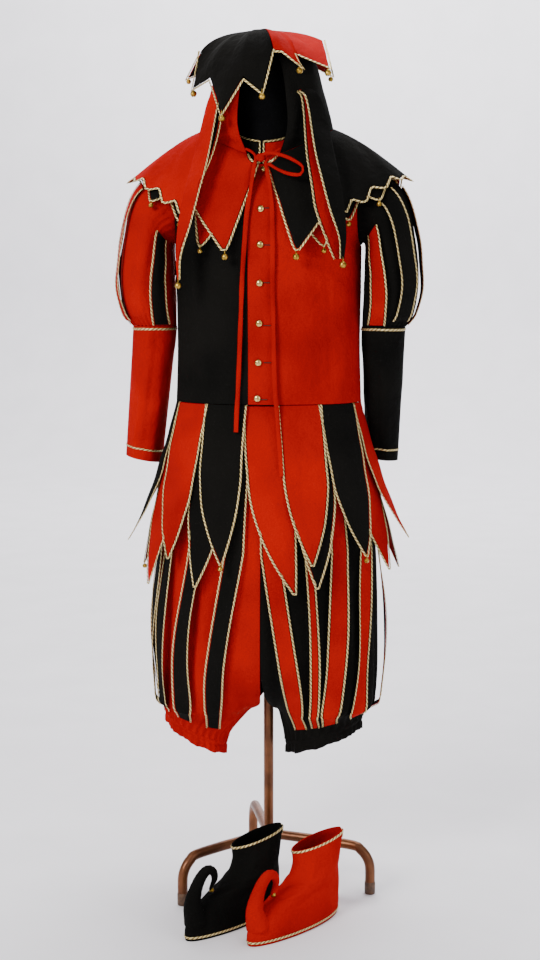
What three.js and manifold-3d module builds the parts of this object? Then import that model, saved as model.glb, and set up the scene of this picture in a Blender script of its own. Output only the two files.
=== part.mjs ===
// A jester costume on a dress stand: cap, hood, cape, jacket, petal skirt, breeches, shoes and bells.
// Millimetres, +Z up, the front faces -Y and the wearer's left is +X. The pole stands at x = 0, y = 0.
import * as THREE from "three";
import { mergeVertices } from "three/addons/utils/BufferGeometryUtils.js";
import Module from "manifold-3d";

// Driving sizes
const seam = 0.3; // gap between neighbouring pieces
const cloth = 1.6; // wall of the jacket, sleeves and breeches
const lined = 1.4; // wall of a lined flap: petal, dag, ear or pane
const waistHeight = 942;
const underarmHeight = 1230;
const shoulderTip = { x: 180, z: 1368 };
const neck = { x: 66, y: 69, centreY: -5, height: 1397, rise: 21, shoulder: 10 };
const collarHeight = 37;
const armholeCurve = 9; // how far the armhole cuts into the front and the back
const placketEdge = -25; // x of the red front's edge, over the black one
const poleRadius = 9.5;
const footReach = 208; // from the pole to a foot of the stand
const legTubeHeight = 93;
const bellRadius = 6.5;
const buttonRadius = 6.5;
const crotchTop = 470; // where the centre seams begin to curve to the crotch
const crotchHeight = 356;
const boreRadius = 16; // opening round the pole at the crotch

const finishes = {
  red: new THREE.MeshStandardMaterial({ color: "#c81e10", roughness: 0.85 }),
  black: new THREE.MeshStandardMaterial({ color: "#171715", roughness: 0.85 }),
  jersey: new THREE.MeshStandardMaterial({ color: "#0f0f10", roughness: 0.95 }),
  brass: new THREE.MeshStandardMaterial({ color: "#b8923c", roughness: 0.35, metalness: 1 }),
  bronze: new THREE.MeshStandardMaterial({ color: "#80502f", roughness: 0.45, metalness: 0.6 }),
};

const costume = new THREE.Group();
const cords = new Set(["tie_left", "tie_right", "tie_bow"]);

function add(name, geometry, finish) {
  const mesh = new THREE.Mesh(geometry, finishes[finish]);
  mesh.name = name;
  costume.add(mesh);
  return mesh;
}

// Small tools for numbers and tables
const { sin, cos, sqrt, min, max, abs, PI } = Math;
const vec = (x, y, z) => new THREE.Vector3(x, y, z);
const mix = (a, b, t) => a + (b - a) * t;
const radians = (degrees) => (degrees * PI) / 180;
const even = (n) => Array.from({ length: n + 1 }, (_, i) => i / n);
const smooth = (t) => t * t * (3 - 2 * t);
const between = (value, low, high) => min(high, max(low, value));

// Smooth value of a table's column at s; the column s orders the rows.
function read(rows, column, s) {
  const last = rows.length - 1;
  const found = rows.findIndex((row) => row.s >= s);
  const k = found < 0 ? last : max(found, 1);
  const [p0, p1, p2, p3] = [rows[max(k - 2, 0)], rows[k - 1], rows[k], rows[min(k + 1, last)]];
  const t = between((s - p1.s) / (p2.s - p1.s), 0, 1);
  const span = p2.s - p1.s;
  const m1 = ((p2[column] - p0[column]) / (p2.s - p0.s)) * span;
  const m2 = ((p3[column] - p1[column]) / (p3.s - p1.s)) * span;
  const [t2, t3] = [t * t, t * t * t];
  return (
    (2 * t3 - 3 * t2 + 1) * p1[column] + (t3 - 2 * t2 + t) * m1 +
    (3 * t2 - 2 * t3) * p2[column] + (t3 - t2) * m2
  );
}

// Point of an oval ring at an angle from the front, positive towards +X.
function oval(a, b, angle, z, centreY = 0) {
  return vec(a * sin(angle), centreY - b * cos(angle), z);
}

function bezier(p, q, r, t) {
  const at = (k) => (1 - t) * (1 - t) * p[k] + 2 * t * (1 - t) * q[k] + t * t * r[k];
  return vec(at("x"), at("y"), at("z"));
}

function meshOf(points, faces) {
  const triangles = faces.flatMap(([a, b, c, d]) => (d === undefined ? [a, b, c] : [a, b, c, a, c, d]));
  const used = [...new Set(triangles)];
  const place = new Map(used.map((index, i) => [index, i]));
  let volume = 0;
  for (let i = 0; i < triangles.length; i += 3) {
    const [a, b, c] = [points[triangles[i]], points[triangles[i + 1]], points[triangles[i + 2]]];
    volume += a.dot(b.clone().cross(c));
  }
  if (volume < 0) triangles.reverse();
  const flat = used.flatMap((index) => points[index].toArray());
  const geometry = new THREE.BufferGeometry();
  geometry.setAttribute("position", new THREE.Float32BufferAttribute(flat, 3));
  geometry.setIndex(triangles.map((index) => place.get(index)));
  geometry.computeVertexNormals();
  return geometry;
}

// Normal of a column's surface at v, found from its neighbouring points
function normalAt({ surface, u, low = -1, high = 2 }, v, lowV, highV) {
  const nudge = 1e-3;
  const across = surface(min(u + nudge, high), v).sub(surface(max(u - nudge, low), v));
  const along = surface(u, min(v + nudge, highV)).sub(surface(u, max(v - nudge, lowV)));
  return across.cross(along).normalize();
}

const poleLine = (p) => vec(0, 0, p.z); // the usual core: the middle of the body

// A wall over columns of points. Its inside lies one thickness towards the core, and holds(row, column)
// says which cells have cloth, so flaps can hang from one strip as the teeth of a comb.
function comb(columns, vs, thick, { closed = false, core = poleLine, holds = () => true } = {}) {
  const n = columns.length;
  const m = vs.length;
  const outside = vs.flatMap((v) => columns.map((column) => column.surface(column.u, v)));
  const normals = vs.flatMap((v) => columns.map((column) => normalAt(column, v, vs[0], vs[m - 1])));
  const side = outside.reduce((sum, p, i) => sum + normals[i].dot(p.clone().sub(core(p))), 0);
  const depth = side < 0 ? thick : -thick;
  const inside = outside.map((p, i) => p.clone().addScaledVector(normals[i], depth));
  const at = (j, i) => j * n + (i % n);
  const columnCount = closed ? n : n - 1;
  const present = (j, i) => {
    if (j < 0 || j >= m - 1) return false;
    if (!closed && (i < 0 || i >= columnCount)) return false;
    return holds(j, (i + n) % n);
  };
  const faces = [];
  const rim = (a, b) => faces.push([b, a, a + n * m, b + n * m]);
  for (let j = 0; j < m - 1; j++)
    for (let i = 0; i < columnCount; i++) {
      if (!present(j, i)) continue;
      const [a, b, c, d] = [at(j, i), at(j, i + 1), at(j + 1, i + 1), at(j + 1, i)];
      faces.push([a, b, c, d], [c + n * m, b + n * m, a + n * m, d + n * m]);
      if (!present(j - 1, i)) rim(a, b);
      if (!present(j + 1, i)) rim(c, d);
      if (!present(j, i - 1)) rim(d, a);
      if (!present(j, i + 1)) rim(b, c);
    }
  return meshOf([...outside, ...inside], faces);
}

// A plain wall whose outside is point(u, v)
function wall(point, us, vs, thick, options = {}) {
  const [low, high] = options.closed ? [-1, 2] : [us[0], us[us.length - 1]];
  return comb(us.map((u) => ({ surface: point, u, low, high })), vs, thick, options);
}

// Columns of flaps along a strip, with lines between them where only the strip runs
function combColumns(flaps, lines, strip, stripStep, loop) {
  return flaps.flatMap((flap, k) => {
    const own = lines.map((u) => ({ surface: flap.surface, u, flap: k }));
    const next = flaps[k + 1] ?? (loop ? { ...flaps[0], centre: flaps[0].centre + loop } : null);
    if (!next) return own;
    const [start, end] = [flap.centre + flap.half, next.centre - next.half];
    const inner = even(Math.ceil((end - start) / stripStep)).slice(1, -1);
    return [...own, ...inner.map((t) => ({ surface: strip, u: mix(start, end, t), low: -9, high: 9 }))];
  });
}

// Cells of a comb: the strip's row is whole, and the other rows keep only the flaps.
const combCells = (columns, stripRow) => (j, i) => {
  const next = columns[(i + 1) % columns.length];
  return j === stripRow || (columns[i].flap !== undefined && columns[i].flap === next.flap);
};

// A solid through closed rings of points, flat at both ends.
function loft(rings) {
  const n = rings[0].length;
  const middle = (ring) => ring.reduce((sum, p) => sum.add(p), vec(0, 0, 0)).divideScalar(n);
  const points = [...rings.flat(), middle(rings[0]), middle(rings[rings.length - 1])];
  const [first, last] = [points.length - 2, points.length - 1];
  const faces = [];
  for (let j = 0; j < rings.length - 1; j++)
    for (let i = 0; i < n; i++) {
      const next = (i + 1) % n;
      faces.push([j * n + i, j * n + next, (j + 1) * n + next, (j + 1) * n + i]);
    }
  for (let i = 0; i < n; i++) {
    const next = (i + 1) % n;
    faces.push([first, next, i], [last, (rings.length - 1) * n + i, (rings.length - 1) * n + next]);
  }
  return meshOf(points, faces);
}

const ringOf = (n, place) => Array.from({ length: n }, (_, i) => place((2 * PI * i) / n));

function tube(points, radius, sides, stepLength) {
  const path = new THREE.CatmullRomCurve3(points, false, "centripetal");
  const outline = new THREE.Shape(
    ringOf(sides, (angle) => new THREE.Vector2(radius * cos(angle), radius * sin(angle))),
  );
  const steps = Math.round(path.getLength() / stepLength);
  return new THREE.ExtrudeGeometry(outline, { steps, extrudePath: path, bevelEnabled: false });
}

const kernel = await Module();
kernel.setup();

function joined(pieces) {
  const solids = pieces.map((piece) => {
    const bare = new THREE.BufferGeometry();
    const source = piece.index ? piece : mergeVertices(piece);
    bare.setAttribute("position", source.getAttribute("position"));
    bare.setIndex(source.index);
    const merged = mergeVertices(bare, 1e-3);
    return new kernel.Manifold(
      new kernel.Mesh({
        numProp: 3,
        vertProperties: merged.attributes.position.array,
        triVerts: new Uint32Array(merged.index.array),
      }),
    );
  });
  const made = solids.reduce((sum, solid) => sum.add(solid)).getMesh();
  const geometry = new THREE.BufferGeometry();
  geometry.setAttribute("position", new THREE.BufferAttribute(made.vertProperties, 3));
  geometry.setIndex(new THREE.BufferAttribute(made.triVerts, 1));
  geometry.computeVertexNormals();
  return geometry;
}

// Stand: a pole on three tubes bent down to the floor
const legAngles = [105, 225, 345];

function standLeg(degrees) {
  const [dx, dy] = [cos(radians(degrees)), sin(radians(degrees))];
  const at = (reach, z) => vec(reach * dx, reach * dy, z);
  const bend = 46;
  const arc = even(4).map((t) => {
    const turn = (t * PI) / 2;
    return at(footReach - bend + bend * sin(turn), legTubeHeight - bend + bend * cos(turn));
  });
  const level = [0, 60, 115].map((reach) => at(reach, legTubeHeight));
  const route = [...level, ...arc, at(footReach, 0)];
  const path = new THREE.CurvePath();
  for (let i = 1; i < route.length; i++) path.add(new THREE.LineCurve3(route[i - 1], route[i]));
  const sections = route.map((p, i) => {
    const before = route[max(i - 1, 0)];
    const after = route[min(i + 1, route.length - 1)];
    const ahead = after.clone().sub(before).normalize();
    const across = vec(-dy, dx, 0);
    const up = ahead.clone().cross(across);
    return ringOf(8, (angle) =>
      p.clone().addScaledVector(across, poleRadius * cos(angle)).addScaledVector(up, poleRadius * sin(angle)),
    );
  });
  sections[sections.length - 1].forEach((p) => (p.z = 0));
  return loft(sections);
}

const hubTop = legTubeHeight + poleRadius + 3;
const hub = loft([legTubeHeight - poleRadius - 1, hubTop].map((z) => ringOf(12, (t) => oval(12, 12, t, z))));
add("stand_base", joined([hub, ...legAngles.map(standLeg)]), "bronze");

// Dress form: torso, neck and head block in one, with no limbs
const form = [
  { s: 700, a: 118, b: 80, y: 0 },
  { s: 745, a: 136, b: 92, y: 0 },
  { s: 850, a: 142, b: 94, y: 0 },
  { s: 945, a: 138, b: 88, y: 0 },
  { s: 1060, a: 148, b: 98, y: 0 },
  { s: 1180, a: 160, b: 106, y: 0 },
  { s: 1280, a: 156, b: 92, y: 2 },
  { s: 1345, a: 132, b: 56, y: 4 },
  { s: 1374, a: 88, b: 43, y: 2 },
  { s: 1388, a: 61.5, b: 61.6, y: -5 },
  { s: 1458, a: 62, b: 65, y: -5 },
  { s: 1492, a: 68, b: 80, y: -4 },
  { s: 1540, a: 69, b: 84, y: -2 },
  { s: 1580, a: 53, b: 62, y: -2 },
  { s: 1608, a: 12, b: 15, y: -18 },
];
add("dress_form", loft(form.map((row) => ringOf(16, (t) => oval(row.a, row.b, t, row.s, row.y)))), "jersey");
const poleTop = form[0].s - seam;
const poleRing = (z) => ringOf(12, (t) => oval(poleRadius, poleRadius, t, z));
add("stand_pole", loft([poleRing(hubTop + seam), poleRing(poleTop)]), "bronze");

// Jacket
const torso = [
  { s: 942, a: 175, b: 118 },
  { s: 1040, a: 172, b: 121 },
  { s: 1140, a: 173, b: 125 },
  { s: 1230, a: 174, b: 124 },
];
const bodyRing = (angle, z) => oval(read(torso, "a", z), read(torso, "b", z), angle, z);

// Neckline at an angle from the front
function neckAt(angle) {
  const z = neck.height - neck.rise * cos(angle) + neck.shoulder * sin(angle) ** 2;
  return oval(neck.x, neck.y, angle, z, neck.centreY);
}

// One of the four panels. side is the sign of x, face is 1 for a front and -1 for a back.
function jacketPoint(side, face, edgeX) {
  const chest = read(torso, "a", underarmHeight);
  const startAngle = Math.asin(edgeX / chest);
  const endAngle = PI / 2 - seam / 2 / read(torso, "b", underarmHeight);
  const startNeck = Math.asin(edgeX / neck.x);
  const place = (p) => vec(side * p.x, face * p.y, p.z);
  const half = (angle) => (face > 0 ? angle : PI - angle);
  const neckPoint = (angle) => {
    const p = neckAt(half(angle));
    return vec(p.x, face * p.y, p.z);
  };
  const ring = (u, z) => bodyRing(mix(startAngle, endAngle, u), z);
  const neckShare = 0.42;
  const shoulderStart = neckPoint(PI / 2 - 0.03);
  const top = (u) => {
    if (u <= neckShare) return neckPoint(mix(startNeck, PI / 2 - 0.03, u / neckShare));
    const t = (u - neckShare) / (1 - neckShare);
    const seamY = mix(shoulderStart.y, -seam / 2, t);
    const seamZ = mix(shoulderStart.z, shoulderTip.z, t) + 5 * sin(PI * t);
    return vec(mix(shoulderStart.x, shoulderTip.x, t), seamY, seamZ);
  };
  const inner = (w) => bezier(ring(0, underarmHeight), vec(edgeX, -124, 1322), top(0), w);
  const outer = (w) => {
    const low = ring(1, underarmHeight);
    return vec(
      mix(low.x, shoulderTip.x, w) - armholeCurve * sin(PI * w),
      low.y - 60 * sin(PI * w),
      mix(low.z, shoulderTip.z, (1 - cos(PI * w)) / 2),
    );
  };
  const patch = (u, w) => {
    const sum = ring(u, underarmHeight).multiplyScalar(1 - w).addScaledVector(top(u), w);
    sum.addScaledVector(inner(w), 1 - u).addScaledVector(outer(w), u);
    sum.addScaledVector(inner(0), -(1 - u) * (1 - w)).addScaledVector(outer(0), -u * (1 - w));
    return sum.addScaledVector(inner(1), -(1 - u) * w).addScaledVector(outer(1), -u * w);
  };
  const share = 0.62; // part of the height below the underarm
  return (u, v) => {
    if (v <= share) return place(ring(u, mix(waistHeight + seam, underarmHeight, v / share)));
    return place(patch(u, (v - share) / (1 - share)));
  };
}

const panelColumns = [0, 0.15, 0.32, 0.48, 0.66, 0.83, 1];
const panelRows = [0, 0.2, 0.42, 0.62, 0.71, 0.8, 0.9, 1];
const panels = {
  jacket_front_black: { point: jacketPoint(-1, 1, -placketEdge + seam), finish: "black" },
  jacket_front_red: { point: jacketPoint(1, 1, placketEdge), finish: "red" },
  jacket_back_red: { point: jacketPoint(-1, -1, seam / 2), finish: "red" },
  jacket_back_black: { point: jacketPoint(1, -1, seam / 2), finish: "black" },
};
for (const [name, { point, finish }] of Object.entries(panels))
  add(name, wall(point, panelColumns, panelRows, cloth), finish);

// Stand collar in two halves, open at the front and joined at the back
function collarPoint(side, frontX) {
  const start = Math.asin(frontX / neck.x);
  return (u, v) => {
    const p = neckAt(mix(start, PI - seam / 2 / neck.x, u));
    return vec(side * p.x, p.y, p.z + seam + 0.5 + v * collarHeight);
  };
}
add("collar_black", wall(collarPoint(-1, 11), even(9), even(1), cloth), "black");
add("collar_red", wall(collarPoint(1, 2), even(10), even(1), cloth), "red");

// Sleeves: a puff from the armhole to the elbow, and a plain lower sleeve
const puff = [
  { s: 0, x: 178.2, z: 1298, tilt: 3, out: 66, in: 64, deep: 58 },
  { s: 0.16, x: 202, z: 1274, tilt: 30, out: 77, in: 45, deep: 69 },
  { s: 0.4, x: 216, z: 1216, tilt: 60, out: 63, in: 42, deep: 74 },
  { s: 0.68, x: 226, z: 1152, tilt: 84, out: 53, in: 48, deep: 72 },
  { s: 0.88, x: 222, z: 1106, tilt: 90, out: 49, in: 45, deep: 62 },
  { s: 1, x: 216, z: 1083, tilt: 90, out: 41, in: 39, deep: 49 },
];

// Point of a puff: angle 0 is the outer side and 90 degrees the front.
function puffAt(side, angle, v, away = 0) {
  const get = (column) => read(puff, column, v);
  const tilt = radians(get("tilt"));
  const gather = 1 + 0.035 * sin(PI * min(1, v * 1.1)) * cos(9 * angle);
  const reach = (cos(angle) > 0 ? get("out") * gather : get("in")) * cos(angle) + away * cos(angle);
  const depth = (get("deep") * gather + away) * sin(angle);
  const armhole = armholeCurve * abs(sin(angle)) * max(0, 1 - v / 0.16);
  return vec(side * (get("x") - armhole + reach * sin(tilt)), -depth, get("z") + reach * cos(tilt));
}
const puffCore = (side) => (p) => vec(side * 222, 0, p.z);
const sleeveCore = (side) => (p) => vec(side * 226, 10, p.z);
const around = (n) => even(n).slice(0, -1);

const lowerSleeve = {
  "-1": { hemX: 247, hemY: 40, radiusX: 35, radiusY: 44, slope: 7 },
  1: { hemX: 212, hemY: 82, radiusX: 31, radiusY: 44, slope: -3 },
};
function sleevePoint(side) {
  const hem = lowerSleeve[side];
  return (u, v) => {
    const angle = 2 * PI * u;
    const centre = vec(mix(216, hem.hemX, v), mix(0, hem.hemY, v), mix(1082.2, 826, v));
    const [a, b] = [mix(41, hem.radiusX, v), mix(49, hem.radiusY, v)];
    return vec(side * (centre.x + a * cos(angle)), centre.y - b * sin(angle),
      centre.z + hem.slope * v * cos(angle));
  };
}

for (const [side, colour] of [[-1, "red"], [1, "black"]]) {
  const puffPoint = (u, v) => puffAt(side, 2 * PI * u, v);
  const puff = wall(puffPoint, around(18), even(5), cloth, { closed: true, core: puffCore(side) });
  const sleeve = wall(sleevePoint(side), around(12), even(3), cloth, { closed: true, core: sleeveCore(side) });
  add("puff_" + colour, puff, colour);
  add("sleeve_" + colour, sleeve, colour);
}

// Panes over a puff: flat strips from the armhole to the elbow, each colour held by a strip of its own
const paneWidth = 30;
const puffPanes = [
  { side: -1, colour: "black", from: "elbow", seat: 4.2, angles: [-120, -22, 98] },
  { side: -1, colour: "red", from: "armhole", seat: 5, angles: [-72, 38] },
  { side: 1, colour: "red", from: "elbow", seat: 4.2, angles: [-116, -6, 108] },
  { side: 1, colour: "black", from: "armhole", seat: 0.5, angles: [-62, 52] },
];
const paneOff = 4.6; // from the cloth below to a pane's face; seat is the same at the strip
const paneRows = {
  armhole: [0.13, 0.17, 0.3, 0.45, 0.6, 0.75, 0.86, 0.93],
  elbow: [0.2, 0.32, 0.45, 0.6, 0.75, 0.86, 0.955, 0.99],
};
function puffPane(side, degrees, from, seat) {
  return (u, v) => {
    const size = read(puff, "deep", v);
    const seated = from === "armhole" ? mix(seat, paneOff, between((v - 0.17) / 0.13, 0, 1)) : seat;
    const off = seated + 6 * sin(PI * between((v - 0.1) / 0.9, 0, 1));
    return puffAt(side, radians(degrees) + ((u - 0.5) * paneWidth) / size, v, off);
  };
}
for (const { side, colour, from, seat, angles } of puffPanes) {
  const steps = paneRows[from];
  const half = paneWidth / 2 / 66;
  const flaps = angles.map((degrees) => (
    { surface: puffPane(side, degrees, from, seat), centre: radians(degrees), half }
  ));
  const strip = (angle, v) => puffAt(side, angle, v, seat);
  const columns = combColumns(flaps, even(1), strip, 0.36);
  const holds = combCells(columns, from === "armhole" ? 0 : steps.length - 2);
  add("puff_panes_" + colour + (side < 0 ? "_right" : "_left"),
    comb(columns, steps, lined, { core: puffCore(side), holds }), colour);
}

// Buttons down the placket, each seated square on the cloth below it
const placket = costume.getObjectByName("jacket_front_red");
const buttonPlaces = [
  { x: 0, z: 1366 },
  { x: -1, z: 1294 },
  { x: -2, z: 1231 },
  { x: -3, z: 1162 },
  { x: -4, z: 1090 },
  { x: -6, z: 1019 },
  { x: -8, z: 954 },
];

const buttonProfile = [
  [0, 0],
  [2.4, 0.6],
  [buttonRadius, 2.4],
  [buttonRadius * 0.75, 4.8],
  [0, 6],
].map(([r, h]) => new THREE.Vector2(r, h));
buttonPlaces.forEach(({ x, z }, i) => {
  const dome = new THREE.LatheGeometry(buttonProfile, 8);
  dome.rotateX(PI);
  const button = add("button_" + (i + 1), dome, "brass");
  const { point, face } = new THREE.Raycaster(vec(x, -400, z), vec(0, 1, 0)).intersectObject(placket)[0];
  button.position.copy(point).addScaledVector(face.normal, seam);
  button.quaternion.setFromUnitVectors(vec(0, -1, 0), face.normal);
});

// Skirt of petals in two layers, each colour of a layer held by its own strip inside the waist
const petalRows = [
  { place: -385, length: 284, lean: 1, curl: 6, colour: "black" },
  { place: -306, length: 282, lean: -1, curl: 8, colour: "red" },
  { place: -228, length: 276, lean: 1, curl: 24, colour: "black" },
  { place: -149, length: 288, lean: 1, curl: 3, colour: "red" },
  { place: -70, length: 290, lean: 2, curl: 4, colour: "black" },
  { place: 71, length: 290, lean: 3, curl: 4, colour: "red" },
  { place: 149, length: 284, lean: 4, curl: 5, colour: "black" },
  { place: 228, length: 272, lean: -1, curl: 22, colour: "red" },
  { place: 306, length: 280, lean: 1, curl: 8, colour: "black" },
  { place: 385, length: 284, lean: -1, curl: 6, colour: "red" },
  { place: 463, length: 282, lean: 0, curl: 4, colour: "red" },
];
const underPetalRows = [
  { place: -424, length: 326, lean: 0, curl: 2, colour: "black" },
  { place: -345, length: 328, lean: 1, curl: 4, colour: "red" },
  { place: -267, length: 324, lean: -1, curl: 6, colour: "black" },
  { place: -188, length: 336, lean: 2, curl: 4, colour: "red" },
  { place: -109, length: 332, lean: -3, curl: 2, colour: "black" },
  { place: 8, length: 342, lean: 2, curl: 0, colour: "red" },
  { place: 109, length: 330, lean: -4, curl: 2, colour: "black" },
  { place: 188, length: 330, lean: 3, curl: 10, colour: "red" },
  { place: 267, length: 324, lean: -1, curl: 5, colour: "black" },
  { place: 345, length: 328, lean: 0, curl: 3, colour: "red" },
  { place: 424, length: 326, lean: 0, curl: 2, colour: "black" },
];
const petalWidth = 75;
const stripHeight = 6;
const waist = { a: torso[0].a, b: torso[0].b };

// Angle from the front that lies a given distance round the waist
function waistAngle(distance) {
  let angle = 0;
  const steps = 200;
  for (let i = 0; i < steps; i++)
    angle += distance / steps / sqrt((waist.a * cos(angle)) ** 2 + (waist.b * sin(angle)) ** 2);
  return angle;
}

// Half width of a petal along its length, as a share: straight first, then a pointed arch
function petalShare(v) {
  return v < 0.45 ? 1 : max(0.04, sqrt(max(0, 1 - ((v - 0.45) / 0.55) ** 1.75)));
}

// v is 0 at the waist seam and 1 at the tip. Above the seam the petal turns in and up to its strip.
const turnIn = 0.04;
function petalPoint(row, { layer, tuck, ledge }) {
  const top = waistAngle(row.place);
  const hem = waistHeight - 1 - (layer ? 2 : 0);
  return (u, v) => {
    const drop = max(v, 0) * row.length;
    const inward = layer + (tuck - layer) * between(-v / turnIn, 0, 1);
    const [a, b] = [waist.a + 0.25 * drop - inward, waist.b + 0.17 * drop - inward];
    const centre = top + radians(row.lean * max(v, 0) ** 2);
    const reach = sqrt((a * cos(centre)) ** 2 + (b * sin(centre)) ** 2);
    const share = petalShare(v) * (v < 0 ? 0.8 : 1);
    const angle = centre + ((u - 0.5) * petalWidth * share) / reach;
    const out = row.curl * max(v, 0) ** 3 - 3 * (2 * u - 1) ** 2 * max(v, 0) * share;
    const rise = stripHeight * between(-v / turnIn - 1, 0, 1);
    const z = mix(hem, ledge, between(-v / turnIn, 0, 1)) + rise - drop * 0.975;
    return oval(a + out, b + out, angle, z);
  };
}

// Tucks are measured inwards from the waist and ledges are heights: each strip stands behind the last.
const petalGroups = [
  { name: "petals_red", rows: petalRows, colour: "red", layer: 0, tuck: 4.4, ledge: 942.6 },
  { name: "petals_black", rows: petalRows, colour: "black", layer: 0, tuck: 7.4, ledge: 942.2 },
  { name: "underpetals_red", rows: underPetalRows, colour: "red", layer: 3, tuck: 10.4, ledge: 940.6 },
  { name: "underpetals_black", rows: underPetalRows, colour: "black", layer: 3, tuck: 14.4, ledge: 939.6 },
];
const petalSteps = [-2 * turnIn, -turnIn, 0, 0.35, 0.65, 0.85, 1];
for (const group of petalGroups) {
  const { name, rows, colour, tuck, ledge } = group;
  const flaps = rows
    .filter((row) => row.colour === colour)
    .map((row) => ({ surface: petalPoint(row, group), centre: waistAngle(row.place), half: 0.19 }));
  const strip = (angle, v) =>
    oval(waist.a - tuck, waist.b - tuck, angle, ledge + stripHeight * between(-v / turnIn - 1, 0, 1));
  const columns = combColumns(flaps, even(2), strip, 0.17, 2 * PI);
  add("skirt_" + name, comb(columns, petalSteps, 1.2, { closed: true, holds: combCells(columns, 0) }), colour);
}

// Breeches: each leg is one wall from the centre front round the outer side to the centre back
const breeches = [
  { s: 940, a: 158.2, b: 101.3 },
  { s: 880, a: 164, b: 110 },
  { s: 800, a: 182, b: 124 },
  { s: 700, a: 200, b: 138 },
  { s: 600, a: 206, b: 146 },
  { s: 500, a: 208, b: 150 },
  { s: 430, a: 209, b: 148 },
  { s: 380, a: 208, b: 140 },
];
const ascending = [...breeches].reverse();
const knees = {
  "-1": { inner: 77, outer: 201, y: -14, deep: 62, innerZ: 286, outerZ: 346 },
  1: { inner: 33, outer: 184, y: -14, deep: 66, innerZ: 292, outerZ: 342 },
};
const legRows = [0, 0.12, 0.28, 0.46, 0.62, 0.75, 0.84, 0.9, 0.95, 1];

// Ring of a leg at v from the waist, 0, to the knee, 1. u runs from the centre front to the centre back.
function legAt(side, u, v, away = 0) {
  const knee = knees[side];
  const height = mix(940, 300, v);
  const z = max(height, 380);
  const [a, b] = [read(ascending, "a", z), read(ascending, "b", z)];
  const foldDepth = 3.4 * between(v * 2.2 - 0.5, 0, 1) * sin(PI * u) ** 0.4;
  const folds = foldDepth * cos(13 * PI * u + side + 1.2 * sin(5 * u));
  const open = vec((a + folds + away) * sin(PI * u), -(b + folds + away) * cos(PI * u), height);
  const reach = between((crotchTop - height) / (crotchTop - crotchHeight), 0, 1);
  const closing = 1 - sqrt(1 - reach * reach);
  const drawn = smooth(between((crotchHeight + 24 - height) / (crotchHeight + 24 - 300), 0, 1));
  const angle = -PI / 2 + 2 * PI * u;
  const innerX = mix(boreRadius, knee.inner, drawn);
  const outerX = mix(a + folds, knee.outer, drawn);
  const halfX = (outerX - innerX) / 2;
  const depth = mix(b * 0.86, knee.deep, drawn) + folds * (1 - drawn);
  const hem = (knee.innerZ + knee.outerZ) / 2 + ((knee.outerZ - knee.innerZ) / 2) * sin(angle);
  const shut = vec(
    innerX + halfX + (halfX + away) * sin(angle),
    mix(0, knee.y, drawn) - (depth + away) * cos(angle),
    mix(height, mix(940, hem, v), drawn),
  );
  const p = open.lerp(shut, closing);
  const fromPole = abs(p.y) < boreRadius ? sqrt(boreRadius ** 2 - p.y ** 2) : 0;
  p.x = max(p.x, seam / 2, v > 0.5 ? fromPole : 0);
  return vec(side * p.x, p.y, p.z);
}
const legCore = (side) => (p) => vec(side * mix(90, 110, (940 - p.z) / 640), 0, p.z);

for (const [side, colour] of [[-1, "red"], [1, "black"]]) {
  const edge = 0.0008; // keeps the inseam's two edges apart
  const point = (u, v) => legAt(side, mix(edge, 1 - edge, u), v);
  add("breeches_" + colour, wall(point, even(24), legRows, cloth, { core: legCore(side) }), colour);
}

// Knee cuffs: elastic bands with a ruffle of small waves
const cuffHeight = 24;
const ruffleWaves = 9;
for (const [side, colour] of [[-1, "red"], [1, "black"]]) {
  const knee = knees[side];
  const middle = (knee.inner + knee.outer) / 2;
  const tilt = (knee.outerZ - knee.innerZ) / 2;
  const point = (u, v) => {
    const angle = 2 * PI * u;
    const wave = (0.6 + 2.6 * v) * cos(ruffleWaves * angle);
    const [a, b] = [(knee.outer - knee.inner) / 2 - 1 + wave - 3 * v, knee.deep - 1 + wave - 3 * v];
    return vec(
      side * (middle + a * sin(angle)),
      knee.y - b * cos(angle),
      (knee.innerZ + knee.outerZ) / 2 - seam - 0.8 - v * cuffHeight + tilt * sin(angle),
    );
  };
  const core = (p) => vec(side * middle, knee.y, p.z);
  add("knee_cuff_" + colour, wall(point, around(36), even(2), cloth, { closed: true, core }), colour);
}

// Panes over the legs: slack strips from the hip to the knee cuff, in the other leg's colour
const legPanes = {
  "-1": { colour: "black", slack: 8, places: [0.085, 0.18, 0.32, 0.43, 0.56, 0.68, 0.8, 0.92] },
  1: { colour: "red", slack: 4, places: [0.05, 0.145, 0.255, 0.37, 0.5, 0.64, 0.79, 0.92] },
};
const paneLift = 5.5; // from the leg to the panes' strip
const paneSteps = [0.13, 0.15, 0.46, 0.62, 0.75, 0.84, 0.9, 0.94, 0.965];
for (const side of [-1, 1]) {
  const { colour, slack, places } = legPanes[side];
  const half = paneWidth / 2 / 500;
  const flaps = places.map((place, i) => {
    const ownSlack = slack + 4 * ((i * 5) % 3);
    const surface = (u, v) => {
      const gathered = smooth(between((v - 0.55) / 0.4, 0, 1));
      const stretch = mix(520, 420, gathered);
      const off = paneLift + 6 * gathered + ownSlack * sin(PI * between((v - 0.35) / 0.62, 0, 1)) ** 2;
      const middle = mix(place, 0.08 + 0.85 * place, gathered);
      return legAt(side, middle + ((u - 0.5) * paneWidth) / stretch, v, off);
    };
    return { surface, centre: place, half };
  });
  const strip = (u, v) => legAt(side, u, v, paneLift);
  const columns = combColumns(flaps, even(1), strip, 0.05);
  const cells = { core: legCore(side), holds: combCells(columns, 0) };
  add("breeches_panes_" + colour, comb(columns, paneSteps, lined, cells), colour);
}

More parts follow.
